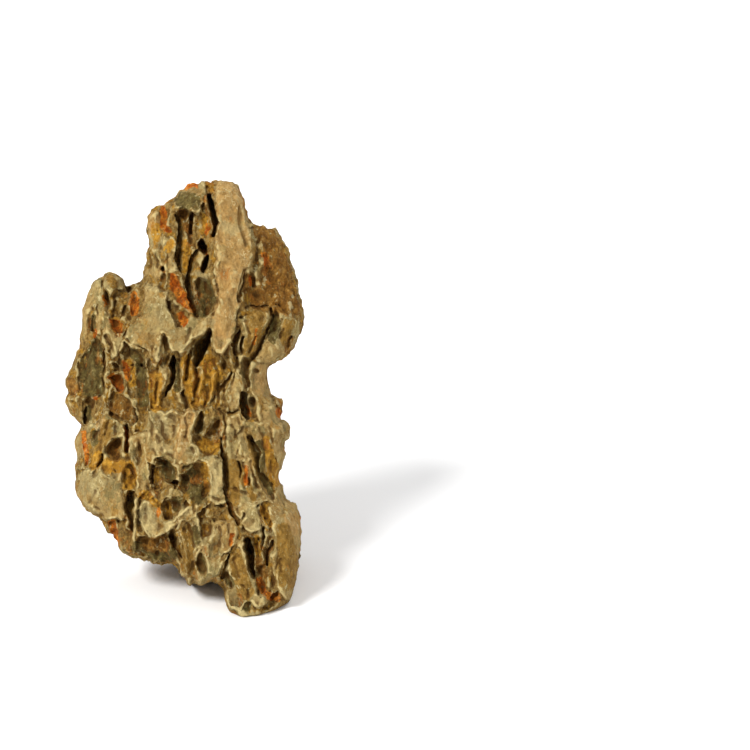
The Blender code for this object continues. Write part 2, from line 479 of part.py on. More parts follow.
def stand_up(mesh):
    """Turns the drawing upright, leans it back, and brings its resting plane to height 0, in metres."""
    upright = Matrix.Rotation(math.radians(90) - LEAN, 4, "X")
    place = Matrix.Translation((-CENTRE[0], -CENTRE[1], -REST_HEIGHT))
    mesh.transform(Matrix.Scale(MM, 4) @ place @ upright)


def cut_base(thing, collection, cutters):
    """Cuts the stone off flat at height 0, where it rests."""
    bpy.ops.mesh.primitive_cube_add(size=1)
    block = bpy.context.object
    block.name = "ground"
    block.scale = (0.4, 0.4, 0.1)
    block.location = (0, 0, -0.05)
    for owner in block.users_collection:
        owner.objects.unlink(block)
    cutters.objects.link(block)
    block.hide_render = True
    block.display_type = "WIRE"
    modifier = thing.modifiers.new("flat base", "BOOLEAN")
    modifier.operation = "DIFFERENCE"
    modifier.object = block
    return replace_mesh(thing, collection)


def stone_material():
    material = bpy.data.materials.new("weathered clay stone")
    material.use_nodes = True
    shader = material.node_tree.nodes["Principled BSDF"]
    shader.inputs["Base Color"].default_value = STONE_COLOUR
    shader.inputs["Roughness"].default_value = 0.85
    shader.inputs["Metallic"].default_value = 0.0
    return material


def new_collection(name):
    collection = bpy.data.collections.new(name)
    bpy.context.scene.collection.children.link(collection)
    return collection


def main():
    for thing in list(bpy.data.objects):
        bpy.data.objects.remove(thing)
    parts, cutters = new_collection("dragon stone"), new_collection("cutters")
    stone = outline_slab(parts)
    stone = remesh(stone, parts)
    move_vertices(stone.data, sculpt_faces(coordinates(stone.data)))
    stone = remesh(stone, parts)
    normals = np.array([v.normal for v in stone.data.vertices])
    move_vertices(stone.data, scoop(coordinates(stone.data), normals))
    stone = remesh(stone, parts)
    drop_crumbs(stone.data)
    stand_up(stone.data)
    stone = thin_out(stone, parts)
    stone = cut_base(stone, parts, cutters)
    drop_crumbs(stone.data)
    stone.name = "dragon_stone"
    stone.data.materials.append(stone_material())


main()
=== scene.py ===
"""A dragon stone standing on a pale floor: weathered clay rock, full of deep upright pits.

The stone is drawn face on in millimetres: x across its main face, y up it and z out of it. A block
of voxels holds the signed distance to its body, out of which hollows, recesses and pits are carved.
The zero level becomes a mesh, which is weathered and leaned back onto its flat base.
"""

import itertools
import math

import bpy
import numpy as np
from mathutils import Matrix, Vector


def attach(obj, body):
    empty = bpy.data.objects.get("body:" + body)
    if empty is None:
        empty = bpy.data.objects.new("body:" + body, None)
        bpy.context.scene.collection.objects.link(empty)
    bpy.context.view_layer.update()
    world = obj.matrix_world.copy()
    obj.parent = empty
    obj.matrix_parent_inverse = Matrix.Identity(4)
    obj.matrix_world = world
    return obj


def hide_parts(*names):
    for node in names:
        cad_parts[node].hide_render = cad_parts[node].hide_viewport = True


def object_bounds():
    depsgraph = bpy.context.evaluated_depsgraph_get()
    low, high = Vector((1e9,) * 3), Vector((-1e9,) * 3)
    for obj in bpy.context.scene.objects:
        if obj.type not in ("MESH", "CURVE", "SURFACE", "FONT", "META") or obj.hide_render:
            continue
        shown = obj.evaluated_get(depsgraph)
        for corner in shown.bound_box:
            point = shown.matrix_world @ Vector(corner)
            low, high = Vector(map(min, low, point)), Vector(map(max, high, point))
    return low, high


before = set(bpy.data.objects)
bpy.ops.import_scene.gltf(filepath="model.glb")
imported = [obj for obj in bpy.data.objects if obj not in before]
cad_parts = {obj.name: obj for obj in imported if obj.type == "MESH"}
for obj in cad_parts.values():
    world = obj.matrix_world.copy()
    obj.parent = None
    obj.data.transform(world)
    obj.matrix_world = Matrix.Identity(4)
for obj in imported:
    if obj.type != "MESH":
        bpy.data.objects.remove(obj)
CAD_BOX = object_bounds()

MM = 0.001
LEAN = math.radians(20)  # the main face leans back this far from upright
REST_HEIGHT = 10.8  # the resting plane, this far above the zero line of the drawing
CENTRE = (0.77, 28.9)  # the middle of the leaned stone, across and back
VOXEL = 0.62
BLOCK_LOW, BLOCK_HIGH = (-67, -8, -66), (68, 234, 48)  # corners of the block of voxels
MOST_TRIANGLES = 198000
SQUARENESS = 2.6  # how squarely the main face turns over its edge; 2 would be an ellipse
MELTED = 1.9  # how squarely the wall of a hollow turns into its floor
DRAWN_WIDE = 0.6  # the outline is drawn this far outside the stone
SAG = 0.4  # how far a crest of the main face hangs down, for each millimetre that it stands out
CREASE_DEPTH, CREASE_HALF = 1.2, 1.3  # of the fine creases, and half their width
SHARP = 0.3  # a crest this steep counts as fully pale: worn, and with a painted highlight
PIT_GAIN = 1.15  # pits come out this much wider than they are drawn
SHEET_MIDDLE, SHEET_HALF = 0.5, 1.5  # the sheet in the middle that no hollow wears through
FLANGE_REACH, LEAST_STONE = 3.5, 0.27  # stone holds with this share of stone this near to it

# Hollows strewn over the back and the edges.
SEED = 7
SCOOPS = 700  # tries
SCOOPS_LOW, SCOOPS_HIGH = (-62, 12), (64, 226)  # corners of the drawing that they are strewn over
SMALLEST_SCOOP, LARGEST_SCOOP = (3.5, 8, 3), (11, 24, 8.5)  # half width, half height and depth
FRONT_SCOOP = (0.5, 0.6, 0.45)  # those of the front, as shares of the others
FRONT_SHARE = 0.25  # of the tries
RIM = 4  # none is nearer the outline
FRONT_BAND, FRONT_RIGHT = 7, 40  # and on the front none is further in, or further to the right
DEEPEST_SHARE = 0.25  # of the stone's thickness
APART = 0.72  # of the sum of the half sizes of two
FRONT_CORE = 2  # the sheet that they leave in the middle reaches this far to the front


# The stone's edge seen face on, clockwise from the top of the pillar.
OUTLINE = [
    (14.5, 228.2), (17, 229.6), (21, 230), (26, 229), (29, 227), (30, 225), (31.5, 222.5),
    (33, 219), (33.5, 216), (34.5, 213), (35, 210), (36.5, 207.5), (37.5, 206), (40, 205.8),
    (42, 206), (45, 204.8), (47.5, 204.5), (48.5, 205.3), (50, 204), (51.5, 201), (53, 198.5),
    (54.5, 196), (56, 192), (57.5, 188), (59, 184), (60, 180), (61, 176), (61.8, 173),
    (62.3, 170), (63, 167), (64, 164), (64.4, 160), (64.6, 156), (64, 153), (63, 150),
    (61.5, 146), (60, 142.5), (58.5, 139), (57, 136.5), (55, 134.5), (52, 133), (48, 131.5),
    (46, 130.5), (45.2, 129), (45, 125), (45.5, 122), (46, 119), (47, 116.5), (49, 115),
    (51, 114.3), (52.5, 114.2), (53.3, 112.5), (53.3, 109), (53, 106), (52.5, 103.5),
    (54.5, 102.5), (56, 101), (56.8, 98.5), (57.2, 95), (56.8, 92), (55.5, 91.2), (54, 90.5),
    (53.3, 88.5), (53.8, 86.5), (54.8, 84.5), (54, 81.5), (53.2, 78.5), (52.6, 76), (51.5, 75),
    (51, 72.5), (51.3, 70), (52.5, 68.3), (53.3, 67.5), (53.2, 65.5), (54, 63), (55, 61.2),
    (57, 59.6), (60, 58.6), (61.5, 55), (62.5, 50), (63, 44), (62.8, 38), (61.8, 31),
    (60.8, 24), (60, 17), (58.5, 10), (57.3, 6), (54, 3), (51, 1), (48.5, -0.3), (45, -2.2),
    (42, -3), (39, -3.6), (34, -4), (28.5, -3.4), (25.5, -1.5), (23, 1), (21.8, 5), (21.2, 9),
    (20.8, 12), (20, 13.5), (19, 14.8), (17.5, 15), (15.5, 16.3), (13, 15.5), (10.5, 14),
    (8.5, 15), (6, 15.5), (4.5, 13.8), (3, 14), (1.5, 15.5), (0.5, 18.5), (-1.5, 19.5),
    (-3, 22), (-4.5, 24), (-6, 25.5), (-8, 26), (-10, 25), (-10.7, 23.2), (-13, 24.8),
    (-16, 25), (-17.5, 26.5), (-21, 27), (-25, 28.5), (-29, 29.8), (-32, 31), (-34.5, 33.5),
    (-36, 37), (-38, 40.5), (-40.5, 42), (-42.5, 45), (-44, 48), (-46, 50), (-49, 52),
    (-52, 54.5), (-54.5, 58), (-56.5, 62), (-57.5, 66), (-57.6, 69), (-57.2, 72), (-58, 75),
    (-58.3, 77.5), (-57.5, 79.5), (-57, 82), (-57.2, 85), (-58, 88), (-58.2, 91), (-57.3, 94),
    (-56, 96.5), (-54.5, 99), (-56.5, 101), (-59, 104), (-61, 106), (-62.3, 108.5),
    (-62.6, 111), (-62.7, 114), (-61.8, 117), (-62.8, 120), (-63, 123), (-62, 126.5),
    (-60, 130.5), (-58.5, 134), (-57.5, 138), (-56, 140.5), (-55, 142), (-55, 146),
    (-54.5, 152), (-54.2, 157), (-54.5, 161), (-53, 165), (-51.5, 169), (-50, 172),
    (-48.5, 175), (-47, 177.3), (-45, 178.2), (-43, 178.8), (-41, 180.3), (-38.5, 181),
    (-36, 180.7), (-34, 179.3), (-32, 177.5), (-31.3, 175), (-30.2, 174), (-28, 174.2),
    (-25.5, 175.3), (-23.5, 175.2), (-22, 177), (-21.3, 179.5), (-21.2, 183.5), (-20.5, 187),
    (-20, 190.5), (-19.8, 193), (-18.7, 194.5), (-19, 197), (-19.7, 200), (-20.2, 203),
    (-19.8, 207), (-19.3, 211), (-17.5, 213.3), (-15, 215.5), (-12.5, 216), (-10, 217),
    (-8, 219), (-5, 220.5), (-3, 224), (-2, 225), (0, 225.2), (2, 227), (5, 228.3),
    (7.5, 227.5), (9.5, 229.7), (12, 229.6),
]

# Thickness at named places: across, up, to the front and to the back of the drawing plane.
THICKNESS = {
    "pillar top": (18, 218, 17, 18),
    "pillar": (26, 190, 27, 24),
    "tower left": (-12, 198, 17, 22),
    "wing top": (50, 188, 9, 20),
    "wing": (53, 160, 15, 22),
    "leaf": (37, 146, 22, 28),
    "star plate": (-16, 155, 26, 28),
    "notch": (-27, 170, 15, 24),
    "knob": (-42, 168, 14, 18),
    "slate panel": (-50, 128, 13, 22),
    "middle": (2, 122, 28, 36),
    "waist": (38, 120, 26, 32),
    "shoulder": (-32, 104, 25, 34),
    "left lobe": (-54, 98, 15, 24),
    "belly": (4, 84, 35, 40),
    "belly right": (44, 84, 30, 38),
    "belly left": (-40, 62, 27, 32),
    "hollow": (-28, 36, 22, 36),
    "flutes": (4, 34, 31, 46),
    "heel": (40, 40, 35, 46),
    "foot": (34, 10, 36, 52),
    "foot right": (56, 20, 29, 48),
}
REACH = 17  # how far each of those places is felt
ROUNDING = 24  # edge rounding of the upper stone
FOOT_ROUNDING = 7  # and of the bluff foot
FOOT_TOP, UPPER_START = 22, 70  # the heights between which one passes into the other

# Plates of the old smooth skin that stand over the main face: height of their edge, how far they
# dish in from it, and the edge.
PLATES = {
    "pillar": (4, 0.25, [
        (17.5, 230), (24, 231), (30, 227), (31.5, 221), (33, 213), (36, 206), (38.5, 199),
        (38, 190), (37.5, 183), (34.5, 183), (32.5, 178), (31, 170), (30.5, 163), (29.5, 157),
        (29, 151), (27, 146), (25, 141), (22, 136), (19, 137), (17, 140), (15.5, 144),
        (15, 149), (14, 153), (17, 158), (19.5, 164), (18.5, 172), (17.5, 178), (18, 186),
        (18, 196), (17, 202), (18.8, 210), (18, 220)]),
    "bridge": (3, 0.5, [
        (0, 152), (0.5, 147), (4, 144), (8, 145), (11, 148), (13.5, 150.5), (16, 150), (18, 155),
        (15, 158.5), (11, 157), (8, 155.5), (5, 157.5), (3, 155)]),
    "crown": (2, 2.6, [
        (-3, 224), (4, 227), (10, 228), (13, 224), (12.5, 219), (10, 216), (9, 211.5), (5, 213),
        (1, 214.5), (-3, 213), (-4.5, 217)]),
    "column": (1.5, 3, [
        (-18, 211), (-14, 214), (-12, 209), (-13, 202), (-10, 198), (-5, 199), (-4, 193),
        (-5, 184), (-7, 180), (-12, 184), (-16, 192), (-19, 200)]),
    "star": (3, 1, [
        (-20, 173), (-13, 172), (-9, 170), (-6.5, 171), (-8, 165), (-6, 160), (-3.5, 154),
        (-0.5, 150), (4, 149), (6, 148), (5, 143), (2, 139), (0, 136.5), (-3, 138), (-6, 138.5),
        (-7, 143), (-9, 147.5), (-10.5, 144), (-11, 138), (-12, 131.5), (-14.5, 134),
        (-17.5, 137.5), (-21, 140), (-26, 142.5), (-30, 146), (-28.5, 151), (-24, 154),
        (-20.5, 158), (-21, 166)]),
    "lobe strip": (2.5, 0.5, [
        (-55, 163), (-51, 172), (-47, 178), (-43, 178), (-42, 171), (-42, 162), (-41.5, 152),
        (-42.5, 147), (-45, 147), (-48, 150), (-48.5, 156), (-46, 160), (-47.5, 162),
        (-50, 156), (-50.5, 148), (-55, 142), (-56, 152)]),
    "knob": (2.5, 0.6, [
        (-42, 175), (-41.5, 181), (-37, 182), (-32, 179), (-30.5, 174), (-34, 171), (-37.5, 168),
        (-41, 171)]),
    "left blade": (2.5, 1, [
        (-41, 159), (-38.5, 160), (-38, 150), (-35, 146), (-31, 147), (-32, 141), (-34.5, 136),
        (-37, 134), (-39.5, 141), (-40.5, 150)]),
    "leaf": (2.5, 2.4, [
        (32.5, 157), (38, 159), (44, 159), (46, 155), (43.5, 150), (40.5, 144), (37.5, 138),
        (35.2, 134), (33, 136), (31.8, 142), (32, 149), (31, 154)]),
    "leaf right": (2, 2.6, [
        (50.5, 160), (55, 159), (60, 154), (62, 148), (58, 141), (53, 135), (46, 131),
        (40, 132), (38, 135), (42, 141), (46, 147), (51, 152)]),
    "waist": (2, 3, [
        (36, 133), (45, 131), (44.7, 121), (46.5, 116), (48.5, 111), (50, 107), (51, 103),
        (46, 100), (41, 100), (39.5, 104), (39, 110), (37, 114.5), (35.5, 119), (34.5, 126)]),
    "waist blade": (2, 1, [
        (24, 112), (25.5, 119), (28.5, 126.5), (30.5, 121), (31.5, 117), (30.5, 111),
        (29.5, 107), (25.5, 107.5)]),
    "right flank": (2.5, 3.6, [
        (24, 104.5), (30, 107), (33, 101.5), (40, 102), (52, 104), (60, 100), (60, 90), (54, 89),
        (55, 84), (53, 76), (51, 70), (53, 66), (54, 60), (48, 58), (44, 59.5), (40, 57.5),
        (33, 54), (31, 49), (28, 53), (25.7, 60), (25, 70), (24.6, 80), (23.6, 90), (23, 97)]),
    "brow": (2.5, 4, [
        (-19.5, 84), (-19, 91), (-18.5, 98), (-17.5, 106.5), (-13, 108), (-9, 106.5), (-4, 107.3),
        (-1, 106), (4, 109), (9, 108), (8.7, 104.5), (7, 101), (5.5, 96), (6.5, 91), (10, 87.5),
        (12, 82.5), (16, 83), (19.5, 84), (22, 80), (22.3, 71), (22.3, 63), (24.5, 59.5),
        (20, 57.5), (15, 59.5), (15.8, 66), (16, 74), (14, 79.5), (10, 81.2), (5, 79.8), (0, 75.5),
        (-2.5, 77.5), (-5, 80.5), (-9, 83), (-12, 82.5), (-15, 79), (-18, 80)]),
    "belly left": (2, 3, [
        (-28.3, 86), (-27, 93), (-22, 95), (-19.3, 95), (-18, 90), (-17.5, 82), (-16.8, 74),
        (-18.5, 66), (-23.5, 60), (-24.3, 70), (-24, 77), (-27, 81)]),
    "shoulder": (2.5, 3.4, [
        (-44, 97), (-40.5, 106), (-37, 104), (-32, 101), (-29.5, 99), (-30.5, 93), (-35, 93),
        (-40, 88), (-40.5, 84), (-44.5, 79), (-47.5, 79), (-48, 90)]),
    "left rim": (2, 1, [
        (-58, 89), (-56.5, 96), (-53, 98.5), (-50, 92), (-50, 86), (-54, 82), (-58, 82)]),
    "left plate": (2.5, 1.2, [
        (-50, 77), (-46, 77.5), (-42, 80), (-38, 81.5), (-31, 81.5), (-27, 80.8), (-30.3, 76),
        (-31.5, 70), (-31, 64), (-30, 58), (-29.3, 52), (-32, 48.7), (-35, 51), (-38, 49.6),
        (-41, 50), (-42.5, 52.7), (-44.5, 53), (-47, 51.5), (-51, 56), (-55, 62), (-57, 70),
        (-54, 75)]),
    "knuckle": (2.5, 2.6, [
        (-23, 56), (-20, 60), (-14, 60), (-11, 55), (-10, 50.3), (-6.5, 50), (-3, 51.5),
        (3.5, 57.5), (7, 56), (6, 51.5), (0.5, 50.3), (-3.5, 46.5), (-7, 42.5), (-10, 43),
        (-14, 40), (-18, 43), (-21, 46.5), (-23, 50)]),
    "rim blade": (2, 0, [
        (-25.3, 62), (-22.5, 62), (-22.8, 52), (-24, 42), (-24.5, 35.5), (-26, 38), (-25.6, 50)]),
    "hem": (2.5, 3, [
        (-3, 45.5), (0, 50), (3, 51.3), (8, 55), (10, 50.5), (11, 46), (10.5, 42), (11.5, 39),
        (12.5, 41.5), (15.5, 43), (16.5, 50), (22, 50.5), (27, 50), (29.8, 46), (30, 41), (29, 37),
        (24, 33), (21.5, 28), (20, 22), (15, 17.5), (10, 14.5), (4, 16), (1, 20), (2, 28),
        (1.5, 36), (-1, 42)]),
    "foot rib": (3, 2.6, [
        (30, 36), (33, 33), (35, 28), (36, 22), (38.5, 18), (40.5, 12), (44.5, 9.5), (44, 6),
        (41, 3.5), (38, 5), (36.5, 7.3), (34.5, 7.8), (31.5, 6.5), (28.5, 2), (25, 3), (22.5, 9),
        (24, 13), (27, 14), (25.5, 19), (24, 26), (26, 32)]),
    "foot plate": (2.5, 0.8, [
        (45, 57), (50, 60), (56, 60), (62, 57), (68, 50), (68, 20), (62, 4), (54, 8.5), (51.5, 12),
        (50, 20), (48.5, 25), (47, 31), (49, 38), (47.5, 45)]),
    "strip four": (2, 2.4, [
        (33, 59), (40, 57.5), (43, 57), (41, 52), (42, 47), (38, 43), (34, 45), (31, 48),
        (33, 53)]),
    "belt fin left": (2, 0, [
        (-11, 129), (-8.5, 133), (-7.3, 128), (-7.7, 122), (-10, 116), (-11.5, 109), (-14, 109),
        (-12.5, 117), (-12, 123)]),
    "belt fin middle": (2, 0, [
        (0.3, 134), (2, 131), (1.6, 124), (0.8, 117), (2.5, 111), (0, 110), (-2.5, 114),
        (-1, 120), (-0.7, 128)]),
    "belt fin right": (2, 0, [
        (9.5, 131), (12, 128), (11, 121), (9.7, 115), (10.5, 109), (8.8, 110), (8.3, 117),
        (9, 124)]),
    "belt fin far": (2, 0, [
        (17, 130), (19, 128), (18, 121), (16.5, 114), (15, 109), (13.7, 111), (15, 119),
        (15.8, 125)]),
}

# Broken ground between the plates: depth, how it leans sideways and up as it goes in, and its edge.
RECESSES = {
    "window": (4.5, 0, 0.1, [
        (-3, 210), (-1, 213), (2, 213.5), (5, 212), (8, 210.5), (9.5, 213), (11, 216.5),
        (13, 215), (15, 211), (15.5, 206), (15, 201), (16.8, 198), (17.5, 190), (17, 182),
        (16.5, 174), (18, 167), (17.8, 160), (15, 157.8), (10, 156.3), (7, 157.5), (4, 161),
        (2, 165), (0, 171), (-0.5, 178), (-2.5, 186), (-3, 194), (-1.5, 200), (-0.5, 204),
        (-3.3, 207)]),
    "wing": (3, -0.2, 0, [
        (37.5, 208), (39, 200), (38.5, 190), (38, 182), (35, 177), (32.5, 171), (31.5, 163.5),
        (36, 160.8), (42, 160), (46, 162), (50, 162.5), (53, 160.5), (57, 157), (61, 153.5),
        (68, 148), (74, 180), (62, 214), (38, 214)]),
    "belt": (4.5, 0, 0.25, [
        (-18, 136.5), (-16, 132), (-13, 129), (-11.5, 132.5), (-9, 136), (-6, 138), (-3, 137.5),
        (0, 136.3), (2, 138.5), (5, 142.5), (9, 147), (13.5, 149), (15, 144), (16.5, 139.5),
        (19, 137), (21.5, 135.5), (24.5, 132), (27, 128), (25.5, 122), (23, 115), (22, 108.5),
        (18, 107.5), (14, 108), (10.5, 107.5), (7, 109), (3, 109.5), (0, 107.5), (-4, 108.3),
        (-8, 107), (-13, 107.8), (-17, 108), (-16.8, 114), (-17.5, 120), (-19, 126)]),
    "pointed arch": (3.5, 0, 0.15, [
        (-30, 144.5), (-27.5, 141.5), (-24, 139.5), (-19.5, 136), (-19, 128), (-17.5, 122),
        (-16.8, 113), (-18, 107), (-18, 100), (-19.5, 96.3), (-25, 95.8), (-27, 99.5),
        (-32, 102), (-36, 104), (-40, 107.5), (-41, 112), (-40, 117), (-39, 122),
        (-38.5, 128), (-35, 131.5), (-32.5, 136), (-31.5, 140.5)]),
    "slate panel": (2.2, 0, 0, [
        (-46, 146.5), (-42.8, 144), (-41.3, 136), (-40.8, 126), (-40.8, 119), (-43, 116),
        (-48, 114.8), (-51.5, 115), (-55, 118), (-55.5, 124), (-55.3, 130), (-53, 136.5),
        (-49.5, 139), (-48, 142)]),
    "knob hollow": (3, 0, 0, [
        (-41.3, 171), (-38, 167.5), (-34, 171), (-30.5, 171.8), (-28, 174.5), (-23, 174.5),
        (-21.3, 169), (-21.3, 163), (-21, 157), (-25, 154.8), (-29, 152), (-31, 148),
        (-35, 147), (-38, 150), (-38.8, 156), (-40.5, 160), (-41.8, 165)]),
    "left seam": (2.5, -0.3, 0, [
        (-8.8, 165), (-5, 165), (-1, 161.5), (3, 160), (5, 157), (3.5, 152.5), (1, 150.3),
        (-2, 151.5), (-4.5, 155.5), (-6.5, 160)]),
    "column foot": (1.5, 0, 0, [
        (-6, 171), (-5, 178), (-1.5, 177), (1, 172), (3.5, 165), (6.5, 160.5), (3, 160.3),
        (-1, 162.5), (-4, 165.5)]),
    "tooth roots": (2.5, 0, 0.2, [
        (29, 152), (31, 152), (31.8, 147), (32, 141), (34, 136), (39, 139), (44, 146), (46, 152),
        (46.8, 157), (49, 161), (51, 157), (50, 149), (46, 141), (40, 134), (35, 131),
        (34.5, 120), (32, 117), (29, 128), (26.5, 134), (26.5, 142)]),
    "mouth right": (5, -0.2, 0, [
        (30.5, 113), (32, 117.5), (35.5, 118), (38.5, 114), (40.5, 110), (39.5, 104), (36, 101.8),
        (33, 103.5), (31.5, 107.5)]),
    "lobe low": (3, 0, 0, [
        (-53.5, 112), (-50, 114.5), (-46.5, 112), (-44.5, 107), (-46, 101), (-50, 99), (-53, 102)]),
    "heart": (4, 0, 0.15, [
        (11, 107.5), (13, 104.5), (12.3, 101), (13.8, 98.8), (17, 101), (20.5, 102.8), (22.3, 99),
        (21.3, 95), (21.5, 91.5), (19, 88), (16, 84), (14, 82.3), (12.2, 84), (10.5, 87),
        (8, 90), (6, 94), (6.3, 98), (8.3, 103)]),
    "arch": (3.4, 0, 0.15, [
        (-1, 73.7), (2, 75), (5, 78), (8, 80), (11, 80), (13.8, 78), (15.3, 73), (15.5, 67),
        (14.4, 63), (12.8, 60.5), (9, 59.7), (5, 60.3), (2, 62), (0, 66), (-1, 70)]),
    "fork": (4.5, 0, 0.2, [
        (-16.5, 71), (-16.2, 75.5), (-13.5, 79), (-11, 82), (-8, 81.5), (-5, 79), (-2, 76.3),
        (-0.8, 72), (-1.8, 67), (-4, 65), (-7, 66), (-10, 64), (-13.5, 64.5), (-15.5, 67)]),
    "cup": (4, -0.2, 0.1, [
        (-9, 60), (-4, 61.2), (0, 60), (0.3, 55), (-2.5, 51.5), (-5, 50), (-7.2, 51.8),
        (-8.7, 56)]),
    "dark steps": (4, 0, 0, [
        (-41, 87), (-38, 91), (-35, 93), (-31.3, 91), (-30.5, 85.5), (-31.3, 82), (-35, 81),
        (-39.5, 81)]),
    "ochre dish": (1.5, 0, 0, [
        (-30.5, 80), (-27, 80), (-24, 76), (-23.5, 69), (-25, 66), (-29.5, 65.5), (-31, 69),
        (-31, 74)]),
    "rust slot": (4, 0, 0, [
        (-30, 99.5), (-27.5, 100), (-27.5, 95), (-27.8, 90), (-28, 85), (-30, 85.5), (-30.5, 92)]),
    "left slot": (5, -0.2, 0, [
        (-29.7, 60), (-28.3, 65), (-25, 65.3), (-24, 60), (-24.5, 50), (-25.3, 43), (-27, 43.5),
        (-28.3, 48), (-29, 53)]),
    "left hem": (3.5, 0, 0.3, [
        (-46.3, 53), (-43.5, 52.3), (-41.5, 49.7), (-38, 50), (-35.3, 51.2), (-33.5, 50.5),
        (-32, 48.5), (-29.5, 50), (-28, 44), (-26.5, 43.5), (-26, 36), (-24.5, 33), (-27, 26),
        (-38, 27), (-52, 45)]),
    "cave": (5, 0, 0.3, [
        (-24.3, 38), (-23, 41.5), (-18.3, 42), (-15, 40), (-12, 42), (-8, 42.5), (-4.5, 45),
        (-2, 41), (0, 36), (1.2, 30), (1, 24), (-2, 17), (-8, 20), (-14, 20), (-22, 24),
        (-27, 27), (-24.5, 33)]),
    "flute": (1.2, 0, 0, [
        (3, 50.5), (6, 51), (8.3, 46), (10, 42), (11, 37), (10.3, 34), (8.2, 33.7), (6.2, 36),
        (4.7, 40), (3.2, 44)]),
    "eye": (4, 0, 0, [
        (10, 34), (12.7, 32), (14.5, 27), (14.2, 22), (12.2, 19.8), (9.7, 22), (8.2, 26),
        (8.2, 30)]),
    "foot crease": (2.5, -0.2, 0, [
        (21, 22), (23.5, 25.5), (26, 19.5), (29, 13.5), (30, 9.5), (27.5, 6.5), (23, 9),
        (20, 15)]),
    "foot slot": (5, 0, 0, [
        (33, 41), (38, 41), (41.5, 40), (42.5, 35), (42, 29), (38.5, 24), (38.3, 18.5),
        (36.3, 21), (35, 27), (33.3, 33)]),
    "foot flute": (3, 0, 0, [
        (41.3, 49), (46, 45), (49, 41), (47.5, 36), (46, 31), (48, 24), (50.3, 19.5), (51, 13),
        (48, 8), (43.5, 10.5), (40.8, 12.5), (39.8, 18), (39.5, 24.5), (42.8, 29), (43.3, 36),
        (42, 42)]),
}

